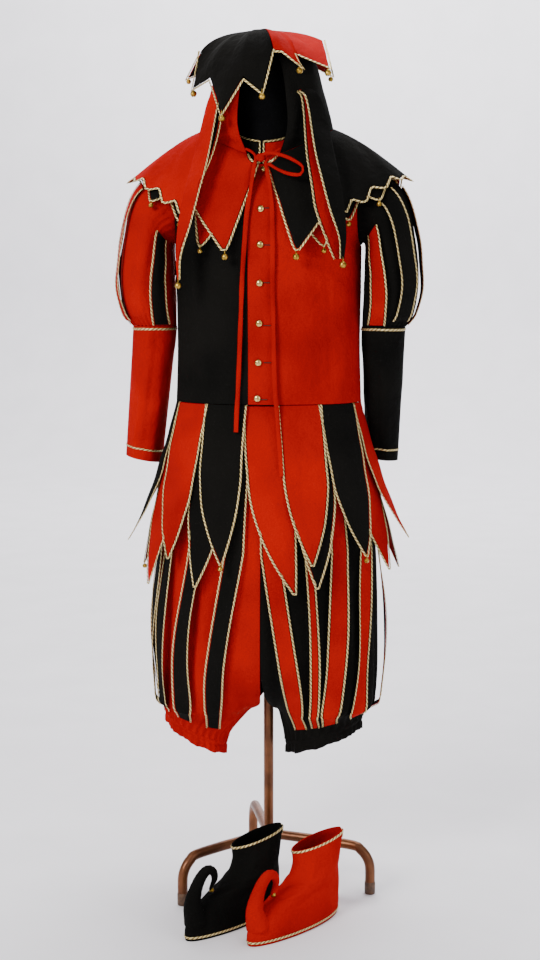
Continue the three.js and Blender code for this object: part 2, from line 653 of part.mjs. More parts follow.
// Hood: two halves joined along the crown and the back; each row is an arch from the face to that seam.
const hoodRows = [
  { s: 0, faceX: 30, faceY: -84, faceZ: 1394, backY: 96, backZ: 1430, bulge: 104, lift: 34 },
  { s: 0.25, faceX: 44, faceY: -96, faceZ: 1440, backY: 104, backZ: 1476, bulge: 90, lift: 14 },
  { s: 0.5, faceX: 42, faceY: -100, faceZ: 1492, backY: 104, backZ: 1532, bulge: 79, lift: 3 },
  { s: 0.72, faceX: 34, faceY: -96, faceZ: 1546, backY: 78, backZ: 1592, bulge: 67, lift: 0 },
  { s: 0.88, faceX: 20, faceY: -86, faceZ: 1576, backY: 10, backZ: 1618, bulge: 45, lift: 0 },
  { s: 1, faceX: 8, faceY: -78, faceZ: 1586, backY: -50, backZ: 1614, bulge: 16, lift: 0 },
];
function hoodPoint(side) {
  return (u, v) => {
    const get = (column) => read(hoodRows, column, v);
    const turn = (1 - cos(PI * u)) / 2;
    const roll = 6 * (1 - min(1, u * 4)) ** 2; // the face edge rolls forward
    return vec(
      side * (mix(get("faceX"), 0.5, turn) + get("bulge") * sin(PI * u) ** 0.9),
      mix(get("faceY"), get("backY"), turn) - roll,
      mix(get("faceZ"), get("backZ"), u) + get("lift") * sin(PI * u),
    );
  };
}
const headCore = () => vec(0, 0, 1500);
add("hood_red", wall(hoodPoint(-1), even(8), even(6), cloth, { core: headCore }), "red");
add("hood_black", wall(hoodPoint(1), even(8), even(6), cloth, { core: headCore }), "black");

// Cape: from the neck over the shoulder to a hem of dags. turn is 0 at the front and 1 at the back.
const capeHem = [
  { turn: 0, x: 10, y: -104, z: 1374 },
  { turn: 0.1, x: 64, y: -140, z: 1219 },
  { turn: 0.2, x: 106, y: -128, z: 1278 },
  { turn: 0.24, x: 124, y: -118, z: 1306 },
  { turn: 0.29, x: 150, y: -106, z: 1288 },
  { turn: 0.31, x: 156, y: -95, z: 1315 },
  { turn: 0.355, x: 184, y: -84, z: 1308 },
  { turn: 0.38, x: 190, y: -70, z: 1338 },
  { turn: 0.42, x: 220, y: -58, z: 1334 },
  { turn: 0.44, x: 224, y: -42, z: 1359 },
  { turn: 0.475, x: 246, y: -32, z: 1350 },
  { turn: 0.495, x: 246, y: -12, z: 1361 },
  { turn: 0.53, x: 267, y: 4, z: 1350 },
  { turn: 0.56, x: 244, y: 18, z: 1360 },
  { turn: 0.6, x: 240, y: 48, z: 1336 },
  { turn: 0.64, x: 212, y: 56, z: 1356 },
  { turn: 0.69, x: 196, y: 90, z: 1310 },
  { turn: 0.73, x: 164, y: 88, z: 1346 },
  { turn: 0.79, x: 138, y: 124, z: 1276 },
  { turn: 0.83, x: 108, y: 112, z: 1326 },
  { turn: 0.89, x: 78, y: 142, z: 1236 },
  { turn: 0.93, x: 48, y: 124, z: 1318 },
  { turn: 1, x: 1.2, y: 146, z: 1226 },
];
function capeNeck(turn) {
  const p = hoodPoint(1)(turn, 0);
  p.z -= seam + 0.3;
  return p;
}
function capeMiddle(turn) {
  const angle = mix(0.16, PI - 0.001, turn);
  const side = sin(angle) ** 2;
  return oval(mix(150, 186, side), mix(128, 112, side), angle, 1374 + 47 * side, 4);
}
function capeHemAt(rows, turn) {
  const k = between(rows.findIndex((row) => row.turn >= turn), 1, rows.length - 1);
  const [p, q] = [rows[k - 1], rows[k]];
  const t = (turn - p.turn) / (q.turn - p.turn);
  return vec(mix(p.x, q.x, t), mix(p.y, q.y, t), mix(p.z, q.z, t));
}
function capePoint(side, rows, drop) {
  return (turn, v) => {
    const p = bezier(capeNeck(turn), capeMiddle(turn), capeHemAt(rows, turn), v);
    const inward = 1 - drop / 190;
    const aside = 0.4; // clear of the middle seam
    return vec(side * (p.x * inward + aside), p.y * inward, p.z - drop);
  };
}
const capeCore = (p) => vec(0, 0, 1240);
for (const [side, colour] of [[-1, "red"], [1, "black"]]) {
  const turns = capeHem.map((row) => row.turn);
  add("cape_" + colour, wall(capePoint(side, capeHem, 0), turns, even(3), lined, { core: capeCore }), colour);
}

// Under cape: a shorter second row of dags that shows below the first
const underHem = [
  { turn: 0.02, x: 26, y: -112, z: 1352 },
  { turn: 0.1, x: 66, y: -126, z: 1290 },
  { turn: 0.17, x: 116, y: -122, z: 1234 },
  { turn: 0.25, x: 126, y: -108, z: 1312 },
  { turn: 0.33, x: 160, y: -90, z: 1282 },
  { turn: 0.38, x: 180, y: -72, z: 1332 },
  { turn: 0.44, x: 216, y: -78, z: 1318 },
  { turn: 0.5, x: 228, y: -22, z: 1362 },
  { turn: 0.57, x: 242, y: 20, z: 1362 },
  { turn: 0.64, x: 208, y: 60, z: 1360 },
  { turn: 0.72, x: 176, y: 94, z: 1288 },
  { turn: 0.8, x: 120, y: 108, z: 1322 },
  { turn: 0.88, x: 92, y: 134, z: 1232 },
  { turn: 0.95, x: 38, y: 126, z: 1300 },
  { turn: 1, x: 1.2, y: 137, z: 1236 },
];
for (const [side, place] of [[-1, "right"], [1, "left"]]) {
  const turns = underHem.map((row) => row.turn);
  const flap = wall(capePoint(side, underHem, 6.4), turns, even(2), lined, { core: capeCore });
  add("undercape_" + place, flap, "black");
}

// Ears: long pointed flaps from the hood's sides, folded lengthwise
const earTop = 1496;
const earTipHeight = { "-1": 1168, 1: 1205 };
const earRows = [
  { s: 0, foldX: 104, foldY: -64, edgeX: 66, edgeY: -100, innerX: 58, innerY: -102 },
  { s: 0.19, foldX: 114, foldY: -72, edgeX: 81, edgeY: -112, innerX: 72, innerY: -114 },
  { s: 0.33, foldX: 126, foldY: -88, edgeX: 94, edgeY: -122, innerX: 83, innerY: -124 },
  { s: 0.53, foldX: 140, foldY: -116, edgeX: 111, edgeY: -138, innerX: 95, innerY: -139 },
  { s: 0.7, foldX: 149, foldY: -128, edgeX: 125, edgeY: -146, innerX: 104, innerY: -147 },
  { s: 0.87, foldX: 152, foldY: -134, edgeX: 141, edgeY: -149, innerX: 122, innerY: -151 },
  { s: 1, foldX: 149, foldY: -140, edgeX: 143, edgeY: -149, innerX: 137, innerY: -150 },
];
const earSeat = 1.7; // from the hood to the ear sewn on it
const earColumns = [0, 0.25, 0.44, 0.5, 0.56, 0.75, 1];
// The two layers meet at the fold, u 0.5, and at the top they lie one over the other on the hood.
function earPoint(side) {
  return (u, v) => {
    const get = (column) => read(earRows, column, v);
    const edge = u < 0.5 ? ["innerX", "innerY"] : ["edgeX", "edgeY"];
    const t = abs(2 * u - 1);
    const layer = (u < 0.5 ? -1 : 1) * min(1, t / 0.12);
    const apart = layer * mix(mix(4.5, 2.5, t), 2.5, smooth(max(0, 4 * v - 3)));
    const hanging = vec(
      side * (mix(get("foldX"), get(edge[0]), t) + 0.73 * apart),
      mix(get("foldY"), get(edge[1]), t) - 0.69 * apart,
      mix(earTop, earTipHeight[side], v),
    );
    const seat = hoodPoint(side)(mix(0.32, 0.16, t), 0.49 - 0.3 * v);
    const out = earSeat + 3 + 3 * layer;
    seat.add(vec(side * out, -0.5 * out, 0));
    return hanging.lerp(seat, smooth(max(0, 1 - v / 0.42)));
  };
}
for (const [side, colour] of [[-1, "red"], [1, "black"]]) {
  const core = (p) => vec(side * 90, -200, p.z);
  add("ear_" + colour, wall(earPoint(side), earColumns, even(7), lined, { core }), colour);
}

// Cap: four quarters that meet at the crown, each with three dags on its edge
const capCrown = { x: -12, y: -8, z: 1622 };
const capQuarters = {
  cap_front_black: {
    finish: "black",
    hem: [
      { turn: 0, x: -125, y: 0, z: 1588 },
      { turn: 0.18, x: -138, y: -14, z: 1520 },
      { turn: 0.36, x: -99, y: -64, z: 1532 },
      { turn: 0.54, x: -71, y: -122, z: 1464 },
      { turn: 0.7, x: -32, y: -120, z: 1527 },
      { turn: 0.88, x: 2, y: -130, z: 1500 },
      { turn: 1, x: 20, y: -122, z: 1572 },
    ],
  },
  cap_front_red: {
    finish: "red",
    hem: [
      { turn: 0, x: 21, y: -122, z: 1572 },
      { turn: 0.14, x: 36, y: -124, z: 1570 },
      { turn: 0.34, x: 68, y: -124, z: 1545 },
      { turn: 0.46, x: 60, y: -114, z: 1566 },
      { turn: 0.72, x: 116, y: -88, z: 1545 },
      { turn: 0.86, x: 108, y: -44, z: 1576 },
      { turn: 1, x: 98, y: 0, z: 1604 },
    ],
  },
  cap_back_black: {
    finish: "black",
    hem: [
      { turn: 0, x: 98, y: 1, z: 1604 },
      { turn: 0.18, x: 112, y: 44, z: 1548 },
      { turn: 0.36, x: 80, y: 84, z: 1568 },
      { turn: 0.54, x: 66, y: 126, z: 1506 },
      { turn: 0.7, x: 34, y: 116, z: 1552 },
      { turn: 0.88, x: 8, y: 134, z: 1512 },
      { turn: 1, x: 1, y: 118, z: 1574 },
    ],
  },
  cap_back_red: {
    finish: "red",
    hem: [
      { turn: 0, x: 0, y: 118, z: 1574 },
      { turn: 0.12, x: -10, y: 136, z: 1514 },
      { turn: 0.3, x: -40, y: 116, z: 1556 },
      { turn: 0.46, x: -94, y: 120, z: 1504 },
      { turn: 0.64, x: -110, y: 76, z: 1568 },
      { turn: 0.82, x: -156, y: 44, z: 1547 },
      { turn: 1, x: -125, y: 1, z: 1588 },
    ],
  },
};

function capPoint(hem) {
  const [first, last] = [hem[0], hem[hem.length - 1]];
  const aim = (p) => Math.atan2(p.y - capCrown.y, p.x - capCrown.x);
  let [from, to] = [aim(first), aim(last)];
  while (to - from > PI) to -= 2 * PI;
  while (from - to > PI) to += 2 * PI;
  return (turn, v) => {
    const edge = capeHemAt(hem, turn);
    const angle = mix(from, to, turn);
    const crown = vec(capCrown.x + 7 * cos(angle), capCrown.y + 7 * sin(angle), capCrown.z - 0.4);
    const brow = vec(
      capCrown.x + (80 - 8 * cos(angle)) * cos(angle),
      capCrown.y + 100 * sin(angle),
      capCrown.z - 2 + 3 * cos(4 * angle),
    );
    return bezier(crown, brow, edge, v);
  };
}
for (const [name, { finish, hem }] of Object.entries(capQuarters)) {
  const middle = hem[3];
  const shift = vec(0.85 * Math.sign(middle.x), 0.6 * Math.sign(middle.y), 0);
  const core = () => vec(-12, -8, 1480);
  const turns = hem.map((row) => row.turn);
  const point = capPoint(hem);
  add(name, wall((u, v) => point(u, v).add(shift), turns, even(4), lined, { core }), finish);
}

// Shoes: a boot wall on its sole, and a toe that curls back
const shoePlaces = {
  shoe_red: { finish: "red", heel: [135, -121], heading: -124 },
  shoe_black: { finish: "black", heel: [22, -110], heading: -124 },
};
const shoeRings = [
  { s: 0, back: 0, toe: 242, wide: 38, height: 0.6, drop: 0 },
  { s: 0.12, back: -3, toe: 242, wide: 40, height: 18, drop: 0 },
  { s: 0.3, back: -3, toe: 226, wide: 38, height: 42, drop: 0 },
  { s: 0.5, back: -1, toe: 178, wide: 35, height: 65, drop: 0 },
  { s: 0.7, back: 1, toe: 126, wide: 33, height: 88, drop: 7 },
  { s: 0.85, back: 1, toe: 104, wide: 34, height: 110, drop: 14 },
  { s: 1, back: -3, toe: 101, wide: 37, height: 136, drop: 22 },
];

// Outline of the shoe at s above the sole; angle 0 is the toe. The opening slopes down to the front.
function shoeAt(angle, s, inset = 0) {
  const get = (column) => read(shoeRings, column, s);
  const half = (get("toe") - get("back")) / 2 - inset;
  const along = get("back") + inset + half + half * cos(angle);
  const taper = 1 - 0.16 * cos(angle) * (1 - s);
  return vec(along, (get("wide") - inset) * taper * sin(angle), get("height") - get("drop") * cos(angle));
}
const curl = [
  { x: 218, z: 30, r: 23 },
  { x: 228, z: 60, r: 17 },
  { x: 223, z: 86, r: 12.5 },
  { x: 210, z: 105, r: 10.5 },
  { x: 193, z: 113, r: 9.5 },
  { x: 178, z: 107, r: 8.5 },
  { x: 173, z: 93, r: 7 },
  { x: 179, z: 82, r: 5 },
];
function curlSolid() {
  const rings = curl.map((row, i) => {
    const [before, after] = [curl[max(i - 1, 0)], curl[min(i + 1, curl.length - 1)]];
    const ahead = vec(after.x - before.x, 0, after.z - before.z).normalize();
    const across = ahead.clone().cross(vec(0, 1, 0));
    return ringOf(8, (angle) =>
      vec(row.x, 0, row.z).addScaledVector(across, row.r * cos(angle)).add(vec(0, row.r * sin(angle), 0)),
    );
  });
  return loft(rings);
}
function shoeSolid() {
  const middle = (p) => vec(80, 0, p.z);
  const side = (u, v) => shoeAt(2 * PI * u, v);
  const upper = wall(side, around(16), even(6), 2.4, { closed: true, core: middle });
  const sole = loft([0, 3].map((z) => ringOf(16, (angle) => shoeAt(angle, 0).setZ(z))));
  return joined([upper, sole, curlSolid()]);
}
for (const [name, { finish, heel, heading }] of Object.entries(shoePlaces)) {
  const shoe = add(name, shoeSolid(), finish);
  shoe.rotation.z = radians(heading);
  shoe.position.set(heel[0], heel[1], 0);
}

// Tie at the neck: a soft cord with a half bow, its two free ends and the loop
const tieRadius = 3;
const tieRoutes = {
  tie_left: [
    [-31.8, -94, 1402], [-21, -103, 1397], [-11.6, -111, 1386], [-15, -116, 1364], [-20, -119, 1330],
    [-26, -126, 1285], [-30, -130, 1230], [-34, -130, 1170], [-37, -128.5, 1100], [-40, -126, 1030],
    [-43, -124, 965], [-45, -126, 930], [-46, -130, 893],
  ],
  tie_right: [
    [31.8, -94.6, 1402], [18, -101, 1393], [6.8, -109.5, 1380], [9, -115, 1364], [15, -120, 1330],
    [20, -130, 1285], [21, -131, 1230], [21, -131.5, 1170], [22, -129.5, 1100], [23, -127.5, 1030],
    [25, -126, 965], [29, -128, 930], [34, -134, 870], [38, -140, 814],
  ],
  tie_bow: [
    [-3, -112, 1387], [11, -117, 1393], [34, -119, 1389], [56, -122, 1380], [74, -125, 1367],
    [70, -128, 1354], [50, -129, 1355], [28, -126, 1364], [12, -121, 1374],
  ],
};
const knot = new THREE.IcosahedronGeometry(6, 1).translate(-3, -110, 1385);
for (const [name, route] of Object.entries(tieRoutes)) {
  const cord = tube(route.map((p) => vec(...p)), tieRadius, 8, 15);
  add(name, name === "tie_bow" ? joined([cord, knot]) : cord, "red");
}

// Bells: a brass ball under a small ring, hung from a tip of the cloth
const bellProfile = [
  [0, -2 * bellRadius - 3],
  [bellRadius * 0.8, -2 * bellRadius - 0.6],
  [bellRadius, -bellRadius - 2],
  [bellRadius * 0.6, -4],
  [1.6, -2.4],
  [0, 0],
].map(([r, h]) => new THREE.Vector2(r, h));
const earTip = (side) => earPoint(side)(0.75, 1);
const capTip = (name, row) => capQuarters[name].hem[row];
const bellPlaces = {
  bell_cap_1: capTip("cap_front_black", 1),
  bell_cap_2: capTip("cap_front_black", 3),
  bell_cap_3: capTip("cap_front_black", 5),
  bell_cap_4: capTip("cap_front_red", 2),
  bell_cap_5: capTip("cap_front_red", 4),
  bell_ear_red: earTip(-1),
  bell_ear_black: earTip(1),
  bell_cape_red: { ...capeHem[1], x: -capeHem[1].x },
  bell_cape_black: capeHem[1],
};
for (const [name, tip] of Object.entries(bellPlaces)) {
  const bell = add(name, new THREE.LatheGeometry(bellProfile, 8).rotateX(PI / 2), "brass");
  bell.position.set(tip.x, tip.y, tip.z - 0.7);
}

// The origin is the middle of the footprint, at the floor.
costume.updateMatrixWorld(true);
const footprint = new THREE.Box3();
for (const mesh of costume.children) if (!cords.has(mesh.name)) footprint.expandByObject(mesh, true);
const middle = footprint.getCenter(vec(0, 0, 0));
costume.children.forEach((mesh) => {
  mesh.position.x -= middle.x;
  mesh.position.y -= middle.y;
});

export default costume;
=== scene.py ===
from math import asin, atan2, cos, exp, pi, radians, sin, sqrt

import bmesh
import bpy
from mathutils import Matrix, Vector


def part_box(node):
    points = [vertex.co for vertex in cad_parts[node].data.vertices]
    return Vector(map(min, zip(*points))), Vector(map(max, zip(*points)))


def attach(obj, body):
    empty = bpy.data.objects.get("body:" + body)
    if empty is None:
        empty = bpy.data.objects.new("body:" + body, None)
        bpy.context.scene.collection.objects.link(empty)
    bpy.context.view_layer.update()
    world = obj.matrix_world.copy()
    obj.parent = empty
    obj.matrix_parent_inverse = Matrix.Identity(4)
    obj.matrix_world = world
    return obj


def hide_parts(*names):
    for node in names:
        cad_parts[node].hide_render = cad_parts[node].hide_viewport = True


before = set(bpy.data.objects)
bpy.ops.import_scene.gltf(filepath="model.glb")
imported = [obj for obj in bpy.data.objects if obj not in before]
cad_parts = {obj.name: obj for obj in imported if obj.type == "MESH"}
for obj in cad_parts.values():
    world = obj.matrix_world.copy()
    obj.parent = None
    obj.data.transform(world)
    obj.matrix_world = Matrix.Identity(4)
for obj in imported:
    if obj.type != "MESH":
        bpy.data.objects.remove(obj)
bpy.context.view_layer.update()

# Lengths are in millimetres from the stand's pole, as in the garment's tables, and become metres in a mesh.
poleLow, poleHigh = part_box("stand_pole")
poleX = (poleLow[0] + poleHigh[0]) / 2
poleY = (poleLow[1] + poleHigh[1]) / 2


def metres(p):
    return Vector((p[0] / 1000 + poleX, p[1] / 1000 + poleY, p[2] / 1000))


def mix(a, b, t):
    return a + (b - a) * t


def between(value, low, high):
    return min(high, max(low, value))


def smooth(t):
    return t * t * (3 - 2 * t)


def ease(value, low, high):
    # Rises softly from 0 at low to 1 at high
    return smooth(between((value - low) / (high - low), 0, 1))


def even(n):
    return [i / n for i in range(n + 1)]


def table(names, *rows):
    return [dict(zip(names.split(), row)) for row in rows]


def hermite(a, m1, b, m2, t):
    # A curve from a to b that leaves with slope m1 and arrives with slope m2
    turn = 3 * t**2 - 2 * t**3
    return a * (1 - turn) + m1 * (t**3 - 2 * t**2 + t) + b * turn + m2 * (t**3 - t**2)


def read(rows, column, s):
    # Smooth value of a column at s
    last = len(rows) - 1
    k = next((i for i, row in enumerate(rows) if row["s"] >= s), last)
    k = max(k, 1)
    p0, p1, p2, p3 = rows[max(k - 2, 0)], rows[k - 1], rows[k], rows[min(k + 1, last)]
    span = p2["s"] - p1["s"]
    t = between((s - p1["s"]) / span, 0, 1)
    m1 = (p2[column] - p0[column]) / (p2["s"] - p0["s"]) * span
    m2 = (p3[column] - p1[column]) / (p3["s"] - p1["s"]) * span
    return hermite(p1[column], m1, p2[column], m2, t)


def oval(a, b, angle, z, centreY=0):
    return Vector((a * sin(angle), centreY - b * cos(angle), z))


def bezier(p, q, r, t):
    return p * (1 - t) ** 2 + q * (2 * t * (1 - t)) + r * t**2


# Camera at the photograph's place
camera = bpy.data.objects.new("camera", bpy.data.cameras.new("camera"))
bpy.context.scene.collection.objects.link(camera)
camera.location = metres((314.1, -2963.4, 1160.7))
camera.rotation_euler = (radians(90 - 7.09), 0, radians(6))
camera.data.lens = 59.12
camera.data.sensor_width = 36
bpy.context.scene.camera = camera


# Materials
def linear(hexColour):
    parts = [int(hexColour[i : i + 2], 16) / 255 for i in (1, 3, 5)]
    return [c / 12.92 if c <= 0.04045 else ((c + 0.055) / 1.055) ** 2.4 for c in parts] + [1]


def newMaterial(name, **values):
    material = bpy.data.materials.new(name)
    material.use_nodes = True
    shader = material.node_tree.nodes["Principled BSDF"]
    for socket, value in values.items():
        shader.inputs[socket.replace("_", " ")].default_value = value
    return material, shader


def addNode(material, kind, inputs=None, **settings):
    node = material.node_tree.nodes.new(kind)
    for key, value in settings.items():
        setattr(node, key, value)
    for socket, value in (inputs or {}).items():
        if isinstance(value, bpy.types.NodeSocket):
            material.node_tree.links.new(value, node.inputs[socket])
        else:
            node.inputs[socket].default_value = value
    return node


def setColour(material, shader, factor, dark, light, low, high):
    ramp = addNode(material, "ShaderNodeValToRGB", {"Fac": factor})
    for element, place, colour in zip(ramp.color_ramp.elements, (low, high), (dark, light)):
        element.position = place
        element.color = linear(colour)
    material.node_tree.links.new(ramp.outputs["Color"], shader.inputs["Base Color"])


def noise(material, place, scale, detail, rough=0.5):
    inputs = {"Vector": place, "Scale": scale, "Detail": detail, "Roughness": rough}
    return addNode(material, "ShaderNodeTexNoise", inputs).outputs["Fac"]


def slantedRibs(material, uv, degrees, scale):
    slant = addNode(material, "ShaderNodeMapping", {"Vector": uv, "Rotation": (0, 0, radians(degrees))})
    inputs = {"Vector": slant.outputs["Vector"], "Scale": scale, "Distortion": 0.6, "Detail": 1}
    return addNode(material, "ShaderNodeTexWave", inputs, bands_direction="X").outputs["Fac"]


def blend(material, share, a, b):
    inputs = {"Factor": share, "A": a, "B": b}
    return addNode(material, "ShaderNodeMix", inputs, data_type="FLOAT").outputs["Result"]


def clothPlace(material):
    return addNode(material, "ShaderNodeUVMap", uv_map="cloth").outputs["UV"]


def objectPlace(material):
    return addNode(material, "ShaderNodeTexCoord").outputs["Object"]


def bumpChain(material, shader, *layers):
    normal = None
    for height, distance, strength in layers:
        inputs = {"Height": height, "Distance": distance, "Strength": strength}
        if normal:
            inputs["Normal"] = normal
        normal = addNode(material, "ShaderNodeBump", inputs).outputs["Normal"]
    material.node_tree.links.new(normal, shader.inputs["Normal"])


def wovenCloth(name, dark, light, sheen, weavePitch=0.0009):
    # A matte twill: fine slanted ribs, uneven threads and soft handling creases
    sheenOf = {"Sheen_Weight": sheen, "Sheen_Roughness": 0.45, "Sheen_Tint": linear(light)}
    material, shader = newMaterial(name, Roughness=0.94, Specular_IOR_Level=0.05, **sheenOf)
    uv, place = clothPlace(material), objectPlace(material)
    ribs = slantedRibs(material, uv, 52, 0.31 / weavePitch)
    threads = noise(material, uv, 1400, 2, 0.6)
    creases = noise(material, place, 26, 3, 0.55)
    tone = blend(material, 0.35, noise(material, place, 7, 2), threads)
    setColour(material, shader, tone, dark, light, 0.34, 0.6)
    bumpChain(material, shader, (creases, 0.011, 0.6), (threads, 0.0002, 0.3), (ribs, 0.00025, 0.5))
    return material


def metalThread():
    material, shader = newMaterial("gold_braid", Roughness=0.42, Metallic=0.55)
    uv = clothPlace(material)
    strands = slantedRibs(material, uv, 38, 62)
    # Colour follows the strands' relief: darker in the grooves between the strands and lighter on their crowns,
    # which is painted shade and painted highlight over the braid's gold; the fine noise adds random tone
    tone = blend(material, 0.5, strands, noise(material, uv, 900, 2))
    setColour(material, shader, tone, "#664817", "#ecd797", 0.3, 0.56)
    bumpChain(material, shader, (strands, 0.0009, 0.9))
    return material


def castMetal(name, dark, light, rough, dents, dentScale, metallic=1.0, wearScale=160):
    material, shader = newMaterial(name, Roughness=rough, Metallic=metallic)
    place = objectPlace(material)
    wear = noise(material, place, wearScale, 4)
    setColour(material, shader, wear, dark, light, 0.36, 0.62)
    hammer = addNode(
        material, "ShaderNodeTexVoronoi", {"Vector": place, "Scale": dentScale}, feature="SMOOTH_F1"
    )
    bumpChain(material, shader, (hammer.outputs["Distance"], dents, 0.6), (wear, 0.0001, 0.3))
    return material


redCloth = wovenCloth("red_gabardine", "#860504", "#ae0c09", 0)
blackCloth = wovenCloth("black_gabardine", "#080807", "#12110f", 0.05)
blackJersey = wovenCloth("black_jersey", "#050506", "#0b0b0c", 0.06, weavePitch=0.0014)
darkStitch, _ = newMaterial("dark_thread", Roughness=0.9, Base_Color=linear("#4a0b06"))
goldBraid = metalThread()
brass = castMetal("bell_brass", "#7c5f1e", "#c9a348", 0.3, 0.0002, 300)
buttonBrass = castMetal("button_brass", "#a8873f", "#ead08a", 0.24, 0.0001, 500)
bronzePaint = castMetal("bronze_paint", "#5b331a", "#744526", 0.36, 0.0005, 170, metallic=0.6, wearScale=30)
ferrule = castMetal("brown_rubber", "#46301f", "#5d402a", 0.6, 0.0003, 220, metallic=0.0)
# Each half of the costume: its side, name, cloth and lining
halves = ((-1, "red", redCloth, blackCloth), (1, "black", blackCloth, redCloth))


# Meshes
def newMesh():
    bm = bmesh.new()
    return bm, bm.loops.layers.uv.new("cloth")


def newPiece(bm, name, materials, nodes=(), body="costume", sharp=None):
    mesh = bpy.data.meshes.new(name)
    bm.to_mesh(mesh)
    bm.free()
    if sharp:
        mesh.set_sharp_from_angle(angle=radians(sharp))
    piece = bpy.data.objects.new(name, mesh)
    bpy.context.scene.collection.objects.link(piece)
    for material in materials:
        mesh.materials.append(material)
    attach(piece, body)
    if nodes:
        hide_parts(*nodes)
    return piece


def gridNormals(points, closed):
    rows, columns = len(points), len(points[0])
    normals = []
    for j in range(rows):
        line = []
        for i in range(columns):
            before = points[j][i - 1] if closed or i else points[j][i]
            after = points[j][(i + 1) % columns] if closed or i < columns - 1 else points[j][i]
            along = points[min(j + 1, rows - 1)][i] - points[max(j - 1, 0)][i]
            line.append((after - before).cross(along).normalized())
        normals.append(line)
    return normals


def clothGrid(surface, us, vs, core, relief=None, closed=False, face=None):
    # Points of a cloth's outer side with its outward normals, raised by relief(u, v)
    points = [[surface(u, v) for u in us] for v in vs]
    normals = gridNormals(points, closed)
    away = sum(n.dot(p - core(p)) for ns, ps in zip(normals, points) for n, p in zip(ns, ps))
    turned = away < 0
    if turned:
        normals = [[-n for n in line] for line in normals]
    if relief:
        for j, v in enumerate(vs):
            for i, u in enumerate(us):
                points[j][i] = points[j][i] + normals[j][i] * relief(u, v)
        normals = [[-n if turned else n for n in line] for line in gridNormals(points, closed)]
    grid = {"points": points, "normals": normals, "turned": turned, "closed": closed}
    return grid | {"us": us, "vs": vs, "face": face}


def lengthsAlong(points):
    total = [0]
    for a, b in zip(points, points[1:]):
        total.append(total[-1] + (b - a).length / 1000)
    return total


def addGrid(bm, layer, grid):
    points, closed = grid["points"], grid["closed"]
    rows, columns = len(points), len(points[0])
    middle = points[rows // 2]
    across = lengthsAlong(middle + middle[:1] if closed else middle)
    down = [lengthsAlong([points[j][i] for j in range(rows)]) for i in range(columns)]
    verts = [[bm.verts.new(metres(p)) for p in line] for line in points]
    for j in range(rows - 1):
        for i in range(columns if closed else columns - 1):
            k = (i + 1) % columns
            corners = [(j, i, i), (j, k, i + 1), (j + 1, k, i + 1), (j + 1, i, i)]
            if grid["turned"]:
                corners.reverse()
            made = bm.faces.new([verts[r][c] for r, c, _ in corners])
            made.smooth = True
            if grid["face"]:
                made.material_index = grid["face"](grid["us"][i], grid["vs"][j])
            for loop, (r, c, place) in zip(made.loops, corners):
                loop[layer].uv = (across[place], down[c][r])


def clothPiece(node, grids, material, lining, thick):
    bm, layer = newMesh()
    for grid in grids:
        addGrid(bm, layer, grid)
    bm.normal_update()
    area = sum(f.calc_area() for f in bm.faces)
    piece = newPiece(bm, "cloth_" + node, [material, lining], [node])
    wall = piece.modifiers.new("wall", "SOLIDIFY")
    wall.thickness = thick / 1000
    wall.offset = -1
    wall.material_offset = 1
    wall.material_offset_rim = 0
    bakeModifiers(piece)


def bakeModifiers(piece, sharp=50):
    evaluated = piece.evaluated_get(bpy.context.evaluated_depsgraph_get())
    mesh = bpy.data.meshes.new_from_object(evaluated)
    piece.modifiers.clear()
    piece.data = mesh
    mesh.set_sharp_from_angle(angle=radians(sharp))


def distanceTo(p, a, b):
    line = b - a
    t = between((p - a).dot(line) / max(line.length_squared, 1e-9), 0, 1)
    return (p - a - line * t).length


def insetLine(points, normals, inset):
    # The edge line moved into the cloth, without the loops that a moved corner makes
    moved = []
    last = len(points) - 1
    for i, p in enumerate(points):
        before = (p - points[max(i - 1, 0)]) if i else (points[1] - p)
        after = (points[i + 1] - p) if i < last else before
        inward = [normals[i].cross(d.normalized()).normalized() for d in (before, after)]
        corner = inward[0] + inward[1]
        reach = corner.dot(inward[0])
        if reach < 0.08:
            continue
        moved.append((p + corner * (inset / reach), normals[i]))
    edges = list(zip(points, points[1:]))
    return [(p, n) for p, n in moved if min(distanceTo(p, a, b) for a, b in edges) > 0.86 * abs(inset)]


def ribbonRing(p, ahead, normal, wide, thick, sides=8):
    side = ahead.cross(normal).normalized()
    return [
        p + side * (wide / 2 * cos(2 * pi * k / sides)) + normal * (thick / 2 * sin(2 * pi * k / sides))
        for k in range(sides)
    ]


def addTube(bm, layer, rings, closed=False, capped=True):
    verts = [[bm.verts.new(metres(p)) for p in ring] for ring in rings]
    sides = len(rings[0])
    down = lengthsAlong([ring[0] for ring in rings] + ([rings[0][0]] if closed else []))
    for j in range(len(rings) if closed else len(rings) - 1):
        nextRing = verts[(j + 1) % len(rings)]
        for i in range(sides):
            k = (i + 1) % sides
            made = bm.faces.new([verts[j][i], verts[j][k], nextRing[k], nextRing[i]])
            made.smooth = True
            for loop, (c, r) in zip(made.loops, [(i, j), (i + 1, j), (i + 1, j + 1), (i, j + 1)]):
                loop[layer].uv = (0.012 * c / sides, down[r])
    if capped and not closed:
        bm.faces.new(verts[0][::-1])
        bm.faces.new(verts[-1])


def directions(points):
    last = len(points) - 1
    result = []
    for i in range(len(points)):
        before = (points[i] - points[max(i - 1, 0)]).normalized()
        after = (points[min(i + 1, last)] - points[i]).normalized()
        result.append((before + after).normalized() if (before + after).length > 0.05 else before)
    return result


def braidPiece(name, lines, wide=3.9, thick=1.6, lift=0.5):
    # Gold braid laid flat on the cloth along lines of (point, normal)
    bm, layer = newMesh()
    for line in lines:
        if len(line) < 2:
            continue
        aheads = directions([p for p, _ in line])
        rings = [ribbonRing(p + n * lift, ahead, n, wide, thick) for (p, n), ahead in zip(line, aheads)]
        addTube(bm, layer, rings)
    bmesh.ops.recalc_face_normals(bm, faces=bm.faces)
    return newPiece(bm, name, [goldBraid])


